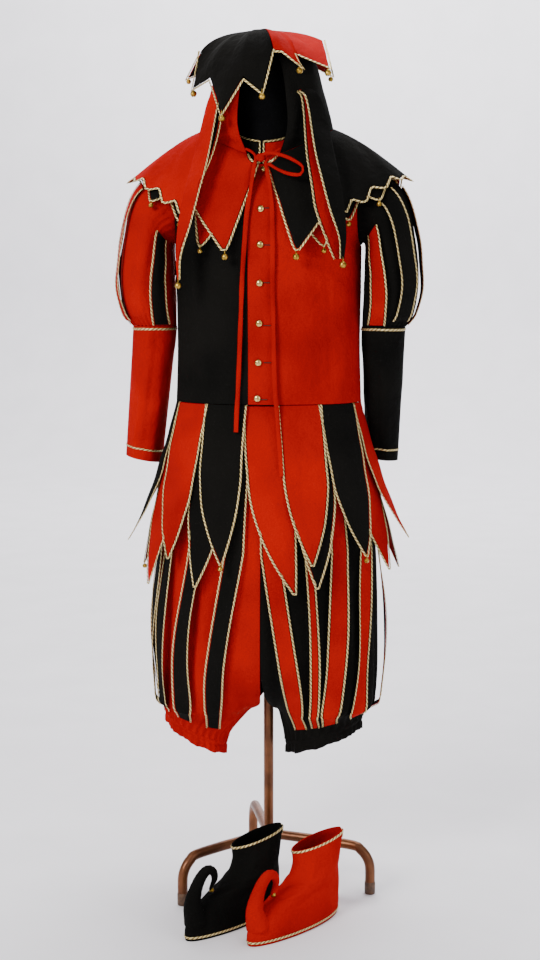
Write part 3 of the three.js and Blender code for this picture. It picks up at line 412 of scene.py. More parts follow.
def trimOf(grid, parts, inset=3.2):
    # A line just inside a grid's border: down is v 1, start u 0 and end u 1
    lines = [list(zip(*row)) for row in zip(grid["points"], grid["normals"])]
    borders = {
        "start": [line[0] for line in lines],
        "down": lines[-1],
        "end": [line[-1] for line in reversed(lines)],
    }
    line = []
    for part in parts:
        line += borders[part][1:] if line else borders[part]
    points, normals = zip(*line)
    return insetLine(points, normals, -inset if grid["turned"] else inset)


def loftPiece(name, rings, material, nodes=(), sharp=40):
    bm, layer = newMesh()
    addTube(bm, layer, rings)
    bmesh.ops.recalc_face_normals(bm, faces=bm.faces)
    return newPiece(bm, name, [material], nodes, sharp=sharp)


def ring(n, make):
    return [make(2 * pi * i / n) for i in range(n)]


def smoothPath(points, step):
    points = [Vector(p) for p in points]
    path = []
    for i in range(len(points) - 1):
        a, b = points[i], points[i + 1]
        before, after = points[max(i - 1, 0)], points[min(i + 2, len(points) - 1)]
        count = max(1, round((b - a).length / step))
        for k in range(count):
            t = k / count
            m1, m2 = (b - before) / 2, (after - a) / 2
            path.append(hermite(a, m1, b, m2, t))
    return path + [points[-1]]


def reliefOf(stretch, *rows, strength=1):
    # Soft ridges and troughs: each row runs from u0, v0 to u1, v1
    lines = table("u0 v0 u1 v1 wide high", *rows)

    def height(u, v):
        total = 0
        for line in lines:
            du, dv = (line["u1"] - line["u0"]) * stretch, line["v1"] - line["v0"]
            pu, pv = (u - line["u0"]) * stretch, v - line["v0"]
            t = between((pu * du + pv * dv) / (du * du + dv * dv), 0, 1)
            away = sqrt((pu - t * du) ** 2 + (pv - t * dv) ** 2) / line["wide"]
            total += line["high"] * exp(-away * away) * (0.35 + 0.65 * sin(pi * (0.08 + 0.84 * t)))
        return total * strength

    return height


# Neck tie: two hanging ends and the loop of a half bow
tieRoutes = {
    "tie_left": [
        (-31.8, -94, 1402), (-21, -103, 1397), (-11.6, -111, 1386), (-15, -116, 1364), (-20, -119, 1330),
        (-26, -126, 1285), (-30, -130, 1230), (-34, -130, 1170), (-37, -128.5, 1100), (-40, -126, 1030),
        (-43, -124, 965), (-45, -126, 930), (-46, -130, 893),
    ],
    "tie_right": [
        (31.8, -94.6, 1402), (18, -101, 1393), (6.8, -109.5, 1380), (9, -115, 1364), (15, -120, 1330),
        (20, -130, 1285), (21, -131, 1230), (21, -131.5, 1170), (22, -129.5, 1100), (23, -127.5, 1030),
        (25, -126, 965), (29, -128, 930), (34, -134, 870), (38, -140, 814),
    ],
    "tie_bow": [
        (-3, -112, 1387), (11, -117, 1393), (34, -119, 1389), (56, -122, 1380), (74, -125, 1367),
        (70, -128, 1354), (50, -129, 1355), (28, -126, 1364), (12, -121, 1374),
    ],
}
tieWidth = 8.5


def tieEnd(node, route):
    path = smoothPath(route, 6)
    aheads = directions(path)
    bow = node == "tie_bow"
    rings = []
    for i, (p, ahead) in enumerate(zip(path, aheads)):
        along = i / (len(path) - 1)
        turn = 0.9 * sin(9 * along) if bow else 0.35 * sin(14 * along + len(path)) + 0.25 * sin(31 * along)
        flat = Vector((sin(turn), -cos(turn), 0))
        normal = (flat - ahead * flat.dot(ahead)).normalized()
        wide = tieWidth * (0.72 if bow else mix(0.55, 1, ease(along, 0.03, 0.13)))
        rings.append(ribbonRing(p, ahead, normal, wide, 2.2, sides=10))
    piece = loftPiece(node.replace("_", "") + "Ribbon", rings, redCloth, [node])


for node, route in tieRoutes.items():
    tieEnd(node, route)

bm, layer = newMesh()
for vert in bmesh.ops.create_icosphere(bm, subdivisions=3, radius=0.0075, calc_uvs=True)["verts"]:
    x, y, z = vert.co * 1000
    pinch = 1 - 0.2 * exp(-((x - 0.4 * z) / 2.2) ** 2)
    vert.co = metres((-3 + 1.15 * x * pinch, -111 + 0.8 * y * pinch, 1385 + 1.05 * z))
for face in bm.faces:
    face.smooth = True
newPiece(bm, "tieKnot", [redCloth])
print("tie made")

# Stand: hammered bronze tubes with dark ferrules
poleRadius = 9.5
tubeHeight = 93
tubeBend = 46
footReach = 208
footAngles = [radians(degrees) for degrees in (105, 225, 345)]


def tubeRings(route, radius, side):
    path = smoothPath(route, 5)
    return [
        ribbonRing(p, ahead, side.cross(ahead).normalized(), 2 * radius, 2 * radius, 20)
        for p, ahead in zip(path, directions(path))
    ]


def capped(rings, rounding):
    # Rings with softly rounded ends
    def shrunk(ringPoints, towards, inwards, along):
        middle = sum(ringPoints, Vector()) / len(ringPoints)
        return [middle + (p - middle) * (1 - rounding * inwards) + towards * (size * along) for p in ringPoints]

    middles = [sum(r, Vector()) / len(r) for r in (rings[0], rings[1], rings[-2], rings[-1])]
    start, end = (middles[0] - middles[1]).normalized(), (middles[3] - middles[2]).normalized()
    size = (rings[0][0] - middles[0]).length * rounding
    head = [shrunk(rings[0], start, 1.6, 1), shrunk(rings[0], start, 0.5, 0.7)]
    tail = [shrunk(rings[-1], end, 0.5, 0.7), shrunk(rings[-1], end, 1.6, 1)]
    return head + rings + tail


tubes, layer = newMesh()
ferrules, ferruleLayer = newMesh()
for footAngle in footAngles:
    dx, dy = cos(footAngle), sin(footAngle)
    route = [(reach * dx, reach * dy, tubeHeight) for reach in (0, 40, 80, 120)]
    for k in range(1, 6):
        angle = k * pi / 10
        reach = footReach - tubeBend + tubeBend * sin(angle)
        route.append((reach * dx, reach * dy, tubeHeight - tubeBend + tubeBend * cos(angle)))
    route.append((footReach * dx, footReach * dy, 22))
    addTube(tubes, layer, tubeRings(route, poleRadius, Vector((-dy, dx, 0))))
    foot = Vector((footReach * dx, footReach * dy, 0))
    profile = [(0.1, 8.6), (1.5, 10.2), (20, 10.4), (23, 10.1), (24, 9.6)]
    addTube(ferrules, ferruleLayer, [ring(22, lambda t: oval(r, r, t, h) + foot) for h, r in profile])
hub = [(0, 9), (1.2, 11.4), (6, 12), (19, 12), (22.5, 11.2), (23.4, 9.6)]
addTube(tubes, layer, [ring(28, lambda t: oval(r, r, t, tubeHeight - 10.4 + h)) for h, r in hub])
for bm in (tubes, ferrules):
    bmesh.ops.recalc_face_normals(bm, faces=bm.faces)
newPiece(tubes, "standTubes", [bronzePaint], ["stand_base"], sharp=50)
newPiece(ferrules, "standFerrules", [ferrule], sharp=50)
poleHeights = [107.6, 109, 112] + [mix(116, 694, k / 24) for k in range(25)] + [699.5]
poleRings = [ring(28, lambda t: oval(poleRadius, poleRadius, t, z)) for z in poleHeights]
loftPiece("standPole", poleRings, bronzePaint, ["stand_pole"])

# Dress form: black jersey over a padded torso, neck and head
formRows = table(
    "s a b y",
    (700, 118, 80, 0), (745, 136, 92, 0), (850, 142, 94, 0), (945, 138, 88, 0), (1060, 148, 98, 0),
    (1180, 160, 106, 0), (1280, 156, 92, 2), (1345, 132, 56, 4), (1374, 88, 43, 2), (1388, 61.5, 61.6, -5),
    (1458, 62, 65, -5), (1492, 68, 80, -4), (1540, 69, 84, -2), (1580, 53, 62, -2), (1608, 12, 15, -18),
)


def formRing(z):
    k = max(1, next(i for i, row in enumerate(formRows) if row["s"] >= z))
    low, high = formRows[k - 1], formRows[k]
    t = (z - low["s"]) / (high["s"] - low["s"])
    a, b, y = (mix(low[c], high[c], t) for c in "aby")
    return ring(40, lambda angle: oval(a * 0.995, b * 0.995, angle, z, y))


formHeights = [mix(p["s"], q["s"], k / 4) for p, q in zip(formRows, formRows[1:]) for k in range(4)]
loftPiece("dressForm", [formRing(z) for z in formHeights + [1608]], blackJersey, ["dress_form"])
print("stand and form made")

# Jacket
seam = 0.3
waistHeight = 942
underarmHeight = 1230
shoulderTip = Vector((180, 0, 1368))
neck = {"x": 66, "y": 69, "centreY": -5, "height": 1397, "rise": 21, "shoulder": 10}
torso = table("s a b", (942, 175, 118), (1040, 172, 121), (1140, 173, 125), (1230, 174, 124))
armholeCurve = 9
placketEdge = -25
armholeStart = 0.62
neckShare = 0.42
neckEnd = pi / 2 - 0.03
collarHeight = 37


def neckAt(angle):
    z = neck["height"] - neck["rise"] * cos(angle) + neck["shoulder"] * sin(angle) ** 2
    return oval(neck["x"], neck["y"], angle, z, neck["centreY"])


def jacketPoint(side, face, edgeX):
    startAngle = asin(edgeX / read(torso, "a", underarmHeight))
    endAngle = pi / 2 - seam / 2 / read(torso, "b", underarmHeight)
    startNeck = asin(edgeX / neck["x"])

    def neckPoint(angle):
        p = neckAt(angle if face > 0 else pi - angle)
        return Vector((p.x, face * p.y, p.z))

    def bodyRing(u, z):
        return oval(read(torso, "a", z), read(torso, "b", z), mix(startAngle, endAngle, u), z)

    shoulderStart = neckPoint(neckEnd)

    def top(u):
        if u <= neckShare:
            return neckPoint(mix(startNeck, neckEnd, u / neckShare))
        t = (u - neckShare) / (1 - neckShare)
        p = shoulderStart.lerp(Vector((shoulderTip.x, -seam / 2, shoulderTip.z)), t)
        return p + Vector((0, 0, 5 * sin(pi * t)))

    def inner(w):
        return bezier(bodyRing(0, underarmHeight), Vector((edgeX, -124, 1322)), top(0), w)

    def outer(w):
        low = bodyRing(1, underarmHeight)
        x = mix(low.x, shoulderTip.x, w) - armholeCurve * sin(pi * w)
        return Vector((x, low.y - 60 * sin(pi * w), mix(low.z, shoulderTip.z, (1 - cos(pi * w)) / 2)))

    def patch(u, w):
        total = bodyRing(u, underarmHeight) * (1 - w) + top(u) * w + inner(w) * (1 - u) + outer(w) * u
        total -= inner(0) * ((1 - u) * (1 - w)) + outer(0) * (u * (1 - w))
        return total - inner(1) * ((1 - u) * w) - outer(1) * (u * w)

    def point(u, v):
        if v <= armholeStart:
            p = bodyRing(u, mix(waistHeight + seam, underarmHeight, v / armholeStart))
        else:
            p = patch(u, (v - armholeStart) / (1 - armholeStart))
        return Vector((side * p.x, face * p.y, p.z))

    return point


jacketRelief = {
    "front_red": reliefOf(
        1,
        (0.06, 0.02, 0.07, 0.98, 0.012, -0.7), (0.56, 0.0, 0.52, 0.5, 0.012, -1.3),
        (0.62, 0.03, 0.72, 0.4, 0.07, 1.6), (0.33, 0.1, 0.4, 0.55, 0.06, 1.2),
        (0.2, 0.3, 0.24, 0.8, 0.05, 1.0), (0.86, 0.15, 0.8, 0.5, 0.06, 1.5),
        (0.3, 0.02, 0.6, 0.14, 0.05, -1.2), (0.95, 0.45, 0.7, 0.6, 0.05, 1.4),
        (0.9, 0.2, 0.6, 0.3, 0.04, 1.2),
        strength=1.7,
    ),
    "front_black": reliefOf(
        1,
        (0.56, 0.0, 0.52, 0.5, 0.012, -1.2), (0.35, 0.08, 0.42, 0.5, 0.07, 1.4),
        (0.7, 0.05, 0.78, 0.45, 0.07, 1.6), (0.18, 0.2, 0.15, 0.7, 0.05, 1.0),
        (0.9, 0.5, 0.7, 0.62, 0.05, 1.5), (0.2, 0.02, 0.6, 0.12, 0.05, -1.2),
        strength=1.9,
    ),
    "back": reliefOf(
        1,
        (0.5, 0.0, 0.46, 0.45, 0.012, -1.2), (0.25, 0.05, 0.3, 0.6, 0.07, 1.5),
        (0.75, 0.05, 0.7, 0.5, 0.07, 1.6), (0.1, 0.3, 0.5, 0.42, 0.06, 1.2),
        (0.85, 0.5, 0.6, 0.66, 0.05, 1.3),
        strength=1.7,
    ),
}
panels = {
    "jacket_front_black": (jacketPoint(-1, 1, 25.3), blackCloth, "front_black"),
    "jacket_front_red": (jacketPoint(1, 1, placketEdge), redCloth, "front_red"),
    "jacket_back_red": (jacketPoint(-1, -1, seam / 2), redCloth, "back"),
    "jacket_back_black": (jacketPoint(1, -1, seam / 2), blackCloth, "back"),
}


def poleLine(p):
    return Vector((0, 0, p.z))


panelGrids = {}
for node, (point, material, relief) in panels.items():
    rows = [armholeStart * t for t in even(30)] + [mix(armholeStart, 1, t) for t in even(20)[1:]]
    grid = clothGrid(point, even(40), rows, poleLine, jacketRelief[relief])
    panelGrids[node] = grid
    clothPiece(node, [grid], material, blackCloth, 1.6)


def collarPoint(side, frontX):
    start = asin(frontX / neck["x"])

    def point(u, v):
        p = neckAt(mix(start, pi - seam / 2 / neck["x"], u))
        return Vector((side * p.x, p.y, p.z + seam + 0.5 + v * collarHeight))

    return point


braids = []
for side, frontX, node, material in ((-1, 11, "collar_black", blackCloth), (1, 2, "collar_red", redCloth)):
    collar = clothGrid(collarPoint(side, frontX), even(40), even(8), poleLine)
    clothPiece(node, [collar], material, blackCloth, 1.6)
    braids.append(trimOf(collar, ["start", "down"], 3))
braidPiece("collarBraid", braids, wide=3.4)

# Sleeves
puffRows = table(
    "s x z tilt out in deep",
    (0, 178.2, 1298, 3, 66, 64, 58), (0.16, 202, 1274, 30, 77, 45, 69), (0.4, 216, 1216, 60, 63, 42, 74),
    (0.68, 226, 1152, 84, 53, 48, 72), (0.88, 222, 1106, 90, 49, 45, 62), (1, 216, 1083, 90, 41, 39, 49),
)


def puffAt(side, angle, v, away=0):
    tilt = radians(read(puffRows, "tilt", v))
    gather = 1 + 0.035 * sin(pi * min(1, v * 1.1)) * cos(9 * angle)
    outwards = read(puffRows, "out", v) * gather if cos(angle) > 0 else read(puffRows, "in", v)
    reach = (outwards + away) * cos(angle)
    depth = (read(puffRows, "deep", v) * gather + away) * sin(angle)
    armhole = armholeCurve * abs(sin(angle)) * max(0, 1 - v / 0.16)
    x = read(puffRows, "x", v) - armhole + reach * sin(tilt)
    return Vector((side * x, -depth, read(puffRows, "z", v) + reach * cos(tilt)))


elbow = {"x": 216, "height": 1082.2, "radiusX": 41, "radiusY": 49}
wristHeight = 826
puffMiddle, sleeveMiddle = 222, 226
lowerSleeve = {
    -1: {"hemX": 247, "hemY": 40, "radiusX": 35, "radiusY": 44, "slope": 7},
    1: {"hemX": 212, "hemY": 82, "radiusX": 31, "radiusY": 44, "slope": -3},
}


def sleevePoint(side):
    hem = lowerSleeve[side]

    def point(u, v):
        angle = 2 * pi * u
        x, y, z = mix(elbow["x"], hem["hemX"], v), hem["hemY"] * v, mix(elbow["height"], wristHeight, v)
        a, b = (mix(elbow[c], hem[c], v) for c in ("radiusX", "radiusY"))
        return Vector((side * (x + a * cos(angle)), y - b * sin(angle), z + hem["slope"] * v * cos(angle)))

    return point


def around(n):
    return even(n)[:-1]


def braidRound(grid, row, lower=0):
    # A closed line of (point, normal) along one row of a grid
    line = [(p - Vector((0, 0, lower)), n) for p, n in zip(grid["points"][row], grid["normals"][row])]
    return line + line[:1]


sleeveRelief = reliefOf(
    2,
    (0.1, 0.05, 0.4, 0.3, 0.09, 1.8), (0.5, 0.1, 0.2, 0.42, 0.08, 1.5), (0.15, 0.45, 0.38, 0.62, 0.08, 1.6),
    (0.45, 0.5, 0.2, 0.8, 0.08, 1.3), (0.75, 0.1, 0.95, 0.4, 0.09, 1.6), (0.9, 0.5, 0.7, 0.75, 0.09, 1.4),
    (0.3, 0.05, 0.27, 0.9, 0.05, -1.5), (0.36, 0.3, 0.35, 0.95, 0.05, 1.5),
    (0.2, 0.55, 0.19, 0.95, 0.05, 1.2),
    strength=1.8,
)
elbowBraids, cuffBraids = [], []
for side, colour, material, _ in halves:
    def puffCore(p):
        return Vector((side * puffMiddle, 0, p.z))

    def sleeveCore(p):
        return Vector((side * sleeveMiddle, 10, p.z))

    def gathers(u, v):
        edge = max(0, 1 - v / 0.3) ** 1.5 + max(0, (v - 0.72) / 0.28) ** 1.5
        return 1.5 * between(edge, 0, 1) * sin(58 * pi * u + 3 * sin(7 * u)) * ease(v, 0, 0.06)

    def puffPoint(u, v):
        return puffAt(side, 2 * pi * u, v)

    puff = clothGrid(puffPoint, around(150), even(44), puffCore, gathers, closed=True)
    clothPiece("puff_" + colour, [puff], material, blackCloth, 1.4)
    sleeve = clothGrid(sleevePoint(side), around(64), even(48), sleeveCore, sleeveRelief, closed=True)
    clothPiece("sleeve_" + colour, [sleeve], material, blackCloth, 1.5)
    elbowBraids.append(braidRound(sleeve, 1))
    cuffBraids.append(braidRound(sleeve, 44))
braidPiece("elbowBraid", elbowBraids, wide=4.4)
braidPiece("cuffBraid", cuffBraids, wide=3.6)

# Panes over the puffs
paneWidth = 30
puffPanes = {
    "puff_panes_black_right": (-1, blackCloth, "elbow", 4.2, (-120, -22, 120)),
    "puff_panes_red_right": (-1, redCloth, "armhole", 5, (-72, 26)),
    "puff_panes_red_left": (1, redCloth, "elbow", 4.2, (-116, -6, 108)),
    "puff_panes_black_left": (1, blackCloth, "armhole", 0.5, (-62, 52)),
}


def puffPane(side, degrees, fromEdge, seat):
    def point(u, v):
        seated = mix(seat, 4.6, between((v - 0.17) / 0.13, 0, 1)) if fromEdge == "armhole" else seat
        off = seated + 6 * sin(pi * between((v - 0.1) / 0.9, 0, 1))
        off += 1.3 * sin(pi * between((v - 0.25) / 0.65, 0, 1)) * sin(19 * v + degrees)
        return puffAt(side, radians(degrees) + (u - 0.5) * paneWidth / read(puffRows, "deep", v), v, off)

    return point


for node, (side, material, fromEdge, seat, angles) in puffPanes.items():
    def paneCore(p):
        return Vector((side * puffMiddle, 0, p.z))

    # A pane from the armhole ends above the elbow's seam
    low, high = (0.14, 0.95) if fromEdge == "armhole" else (0.18, 0.99)
    rows = [mix(low, high, t) for t in even(60)]
    grids = [clothGrid(puffPane(side, d, fromEdge, seat), even(8), rows, paneCore) for d in angles]
    lines = [trimOf(grid, [edge], 3) for edge in ("start", "end") for grid in grids]
    trim = braidPiece(node + "_braid", lines, wide=3.6)
    clothPiece(node, grids, material, blackCloth, 1.4)
print("jacket made")

# Skirt petals in two layers
petalRows = table(
    "place length lean curl colour",
    (-385, 284, 1, 6, "black"), (-306, 282, -1, 8, "red"), (-228, 272, 1, 26, "black"),
    (-149, 288, 8, 3, "red"), (-70, 291, 7, 4, "black"), (71, 291, -1, 4, "red"),
    (149, 280, -2, 5, "black"), (228, 258, -1, 26, "red"), (306, 280, 1, 8, "black"),
    (385, 284, -1, 6, "red"), (463, 282, 0, 4, "red"),
)
underPetalRows = table(
    "place length lean curl colour",
    (-424, 326, 0, 2, "black"), (-345, 328, 1, 4, "red"), (-267, 324, 2, 6, "black"),
    (-188, 340, 12, 4, "red"), (-84, 334, 0, 2, "black"), (8, 342, 12, 0, "red"), (85, 332, -4, 2, "black"),
    (188, 310, 0, 2, "red"), (267, 324, -1, 5, "black"), (345, 328, 0, 3, "red"), (424, 326, 0, 2, "black"),
)
petalWidth = 75
underLayer = 5.5
flareX, flareY = 0.25, 0.17
waistA, waistB = torso[0]["a"], torso[0]["b"]


def waistAngle(distance):
    angle = 0
    for _ in range(200):
        angle += distance / 200 / sqrt((waistA * cos(angle)) ** 2 + (waistB * sin(angle)) ** 2)
    return angle


def petalShare(v):
    if v < 0.45:
        return 1
    return max(0.012, 1 - ((v - 0.45) / 0.55) ** 1.9)


def petalPoint(row, layer, inward):
    top = waistAngle(row["place"])
    hem = waistHeight - 1 - (2 if layer else 0)
    phase = row["place"] * 0.37

    def point(u, v):
        drop = max(v, 0) * row["length"]
        tucked = between(-v / 0.04, 0, 1)
        a = waistA + flareX * drop - layer - inward * tucked
        b = waistB + flareY * drop - layer - inward * tucked
        centre = top + radians(row["lean"] * max(v, 0) ** 2)
        reach = sqrt((a * cos(centre)) ** 2 + (b * sin(centre)) ** 2)
        share = petalShare(v)
        angle = centre + (u - 0.5) * petalWidth * share / reach
        out = row["curl"] * max(v, 0) ** 3 - 3 * (2 * u - 1) ** 2 * max(v, 0) * share
        waves = 1.8 * sin(2.2 * u * pi + phase) * v + 1.1 * sin(5 * v + 4 * u + phase)
        out += sin(pi * between(v, 0, 1)) * (waves + 0.8 * sin(22 * v + 2 * u + phase))
        return oval(a + out, b + out, angle, hem - drop * 0.975)

    return point


petalSteps = [-0.03] + even(56)
for layer, rows in ((0, petalRows), (underLayer, underPetalRows)):
    for _, colour, material, lining in halves:
        node = ("skirt_underpetals_" if layer else "skirt_petals_") + colour
        inward = (3 if colour == "red" else 5) + layer
        own = [row for row in rows if row["colour"] == colour]
        grids = [clothGrid(petalPoint(row, layer, inward), even(14), petalSteps, poleLine) for row in own]
        lines = [trimOf(grid, ["start", "down", "end"], 3) for grid in grids]
        trim = braidPiece(node + "_braid", lines, wide=3.8)
        clothPiece(node, grids, material, lining, 1.2)
print("skirt made")

# Breeches
breechesRows = table(
    "s a b",
    (380, 208, 140), (430, 209, 148), (500, 208, 150), (600, 206, 146), (700, 200, 138), (800, 182, 124),
    (880, 164, 110), (940, 158.2, 101.3),
)
knees = {
    -1: {"inner": 77, "outer": 201, "y": -14, "deep": 62, "innerZ": 286, "outerZ": 346},
    1: {"inner": 33, "outer": 184, "y": -14, "deep": 66, "innerZ": 292, "outerZ": 342},
}
crotchTop, crotchHeight, boreRadius = 470, 356, 16
legTop, legFoot, cuffHeight = 940, 300, 24
paneTop, paneHip, paneFoot = 0.13, 0.42, 0.965


def legAt(side, u, v, away=0):
    knee = knees[side]
    height = mix(legTop, legFoot, v)
    z = max(height, breechesRows[0]["s"])
    a, b = read(breechesRows, "a", z), read(breechesRows, "b", z)
    foldDepth = 3.4 * between(v * 2.2 - 0.5, 0, 1) * sin(pi * between(u, 0, 1)) ** 0.4
    folds = foldDepth * cos(13 * pi * u + side + 1.2 * sin(5 * u))
    opened = Vector(((a + folds + away) * sin(pi * u), -(b + folds + away) * cos(pi * u), height))
    reach = between((crotchTop - height) / (crotchTop - crotchHeight), 0, 1)
    closing = 1 - sqrt(1 - reach * reach)
    drawn = 1 - ease(height, legFoot, crotchHeight + 24)
    angle = -pi / 2 + 2 * pi * u
    innerX = mix(boreRadius, knee["inner"], drawn)
    halfX = (mix(a + folds, knee["outer"], drawn) - innerX) / 2
    depth = mix(b * 0.86, knee["deep"], drawn) + folds * (1 - drawn)
    hem = (knee["innerZ"] + knee["outerZ"]) / 2 + (knee["outerZ"] - knee["innerZ"]) / 2 * sin(angle)
    shut = Vector(
        (
            innerX + halfX + (halfX + away) * sin(angle),
            mix(0, knee["y"], drawn) - (depth + away) * cos(angle),
            mix(height, mix(legTop, hem, v), drawn),
        )
    )
    p = opened.lerp(shut, closing)
    fromPole = sqrt(boreRadius**2 - p.y**2) if abs(p.y) < boreRadius else 0
    p.x = max(p.x, seam / 2, fromPole if v > 0.5 else 0)
    return Vector((side * p.x, p.y, p.z))


def legCore(side):
    return lambda p: Vector((side * mix(90, 110, (legTop - p.z) / (legTop - legFoot)), 0, p.z))


legPanes = {
    -1: ("black", blackCloth, 8, table(
        "waist knee wide",
        (0.075, 0.165, 25), (0.2, 0.29, 25), (0.33, 0.405, 24), (0.43, 0.465, 24), (0.56, 0.54, 25),
        (0.68, 0.64, 25), (0.8, 0.74, 25), (0.92, 0.85, 25),
    )),
    1: ("red", redCloth, 4, table(
        "waist knee wide",
        (0.028, 0.17, 23), (0.14, 0.228, 9), (0.24, 0.28, 25), (0.365, 0.39, 25), (0.5, 0.49, 25),
        (0.64, 0.62, 25), (0.79, 0.74, 25), (0.92, 0.85, 25),
    )),
}


def girthOf(side, v):
    line = [legAt(side, k / 24, v) for k in range(25)]
    return sum((b - a).length for a, b in zip(line, line[1:]))


def placeAt(side, x, v):
    # The share of the front half of a leg that stands x from the middle
    low, high = 0, 0.5
    for _ in range(12):
        u = (low + high) / 2
        if side * legAt(side, u, v).x < x:
            low = u
        else:
            high = u
    return u


def paneMiddles(side, row, rows):
    # A pane hangs straight from the hip to the knee, on the front or on the back
    behind = row["waist"] > 0.5
    waist, knee = (1 - row["waist"], 1 - row["knee"]) if behind else (row["waist"], row["knee"])
    high, low = side * legAt(side, waist, paneHip).x, side * legAt(side, knee, paneFoot).x
    middles = {}
    for v in rows:
        t = between((v - paneHip) / (paneFoot - paneHip), 0, 1)
        u = mix(waist, knee, smooth(t)) if waist > 0.38 or v < paneHip else placeAt(side, mix(high, low, t), v)
        middles[v] = 1 - u if behind else u
    return middles


def legPane(side, row, slack, phase, girths, middles):
    def point(u, v):
        gathered = ease(v, 0.4, 0.95)
        swing = sin(pi * between((v - 0.35) / 0.62, 0, 1)) ** 2
        tucked = ease(v, 0.88, paneFoot)
        off = mix(5.5 + 4 * gathered + slack * swing, 3.2, tucked)
        twist = (u - 0.5) * 5 * swing * (1 - tucked) * sin(7 * v + phase)
        share = (u - 0.5) * row["wide"] * (1 - 0.2 * tucked) / girths[v]
        return legAt(side, middles[v] + share, v, off + twist)

    return point


for side, colour, material, _ in halves:
    def gathers(u, v):
        drawn = ease(v, 0.84, 1)
        inside = ease(u, 0, 0.04) * ease(1 - u, 0, 0.04)
        soft = ease(v, 0, 0.5) * (1 - drawn) * sin(23 * pi * u + 2.5 * sin(4 * u + 3 * v))
        return inside * (1.8 * drawn * sin(66 * pi * u + 4 * sin(9 * u)) + 3 * soft)

    def legSurface(u, v):
        return legAt(side, mix(0.0008, 0.9992, u), v)

    leg = clothGrid(legSurface, even(200), even(90), legCore(side), gathers)
    clothPiece("breeches_" + colour, [leg], material, blackCloth, 1.4)
    knee = knees[side]
    middle, tilt = (knee["inner"] + knee["outer"]) / 2, (knee["outerZ"] - knee["innerZ"]) / 2

    def cuffPoint(u, v):
        angle = 2 * pi * u
        wave = (0.4 + 2.4 * max(v, 0)) * cos(9 * angle) + 1.1 * sin(31 * angle) * (0.3 + v)
        wave -= 1.6 * exp(-(((v - 0.35) / 0.12) ** 2)) + 5 * ease(-v, 0, 0.25)
        a, b = (knee["outer"] - knee["inner"]) / 2 - 1 + wave - 3 * v, knee["deep"] - 1 + wave - 3 * v
        z = (knee["innerZ"] + knee["outerZ"]) / 2 - 1.1 - v * cuffHeight
        z += tilt * sin(angle) + 1.2 * v * sin(11 * angle)
        return Vector((side * (middle + a * sin(angle)), knee["y"] - b * cos(angle), z))

    def cuffCore(p):
        return Vector((side * middle, knee["y"], p.z))

    cuff = clothGrid(cuffPoint, around(180), [-0.3, -0.2, -0.1, -0.03] + even(16), cuffCore, closed=True)
    clothPiece("knee_cuff_" + colour, [cuff], material, blackCloth, 1.4)
    paneColour, paneMaterial, slack, paneRows = legPanes[side]
    rows = [mix(paneTop, paneFoot, t) for t in even(80)]
    girths = {v: girthOf(side, v) for v in rows}
    grids = []
    for i, row in enumerate(paneRows):
        surface = legPane(side, row, slack + 4 * (i * 5 % 3), 1.7 * i, girths, paneMiddles(side, row, rows))
        grids.append(clothGrid(surface, even(8), rows, legCore(side)))
    lines = [trimOf(grid, [edge], 3) for grid in grids for edge in ("start", "end")]
    node = "breeches_panes_" + paneColour
    trim = braidPiece(node + "_braid", lines, wide=3.6)
    clothPiece(node, grids, paneMaterial, blackCloth, 1.2)
print("breeches made")

# Hood
hoodRows = table(
    "s faceX faceY faceZ backY backZ bulge lift",
    (0, 30, -84, 1394, 96, 1430, 104, 34), (0.25, 44, -96, 1440, 104, 1476, 90, 14),
    (0.5, 42, -100, 1492, 104, 1532, 79, 3), (0.72, 34, -96, 1546, 78, 1592, 67, 0),
    (0.88, 20, -86, 1576, 10, 1618, 45, 0), (1, 8, -78, 1586, -50, 1614, 16, 0),
)


def hoodPoint(side):
    def point(u, v):
        row = {c: read(hoodRows, c, v) for c in hoodRows[0]}
        turn = (1 - cos(pi * u)) / 2
        arch = max(0, sin(pi * u))
        roll = 6 * (1 - min(1, u * 4)) ** 2
        x = mix(row["faceX"], 0.5, turn) + row["bulge"] * arch**0.9
        y = mix(row["faceY"], row["backY"], turn) - roll
        return Vector((side * x, y, mix(row["faceZ"], row["backZ"], u) + row["lift"] * arch))

    return point


hoodRelief = {
    -1: reliefOf(
        0.8,
        (0.03, 0.02, 0.02, 0.6, 0.03, 4.5), (0.09, 0.05, 0.1, 0.5, 0.03, -4.5),
        (0.16, 0.0, 0.2, 0.24, 0.035, 4.5), (0.33, 0.02, 0.3, 0.2, 0.04, -2.5),
        (0.62, 0.02, 0.7, 0.5, 0.06, 3), (0.04, 0.16, 0.26, 0.06, 0.03, 3),
        (0.06, 0.07, 0.3, 0.02, 0.025, -2.5), (0.5, 0.02, 0.46, 0.3, 0.05, 3),
    ),
    1: reliefOf(
        0.8,
        (0.03, 0.02, 0.02, 0.6, 0.03, 4.5), (0.08, 0.02, 0.09, 0.55, 0.028, -4.5),
        (0.14, 0.0, 0.18, 0.24, 0.03, 4.5), (0.28, 0.0, 0.3, 0.2, 0.035, -2.5),
        (0.6, 0.05, 0.68, 0.5, 0.06, 3), (0.03, 0.14, 0.24, 0.05, 0.03, 3),
    ),
}


def headCore(p):
    return Vector((0, 0, 1500))


for side, colour, material, _ in halves:
    hood = clothGrid(hoodPoint(side), even(60), even(60), headCore, hoodRelief[side])
    clothPiece("hood_" + colour, [hood], material, blackCloth, 1.5)

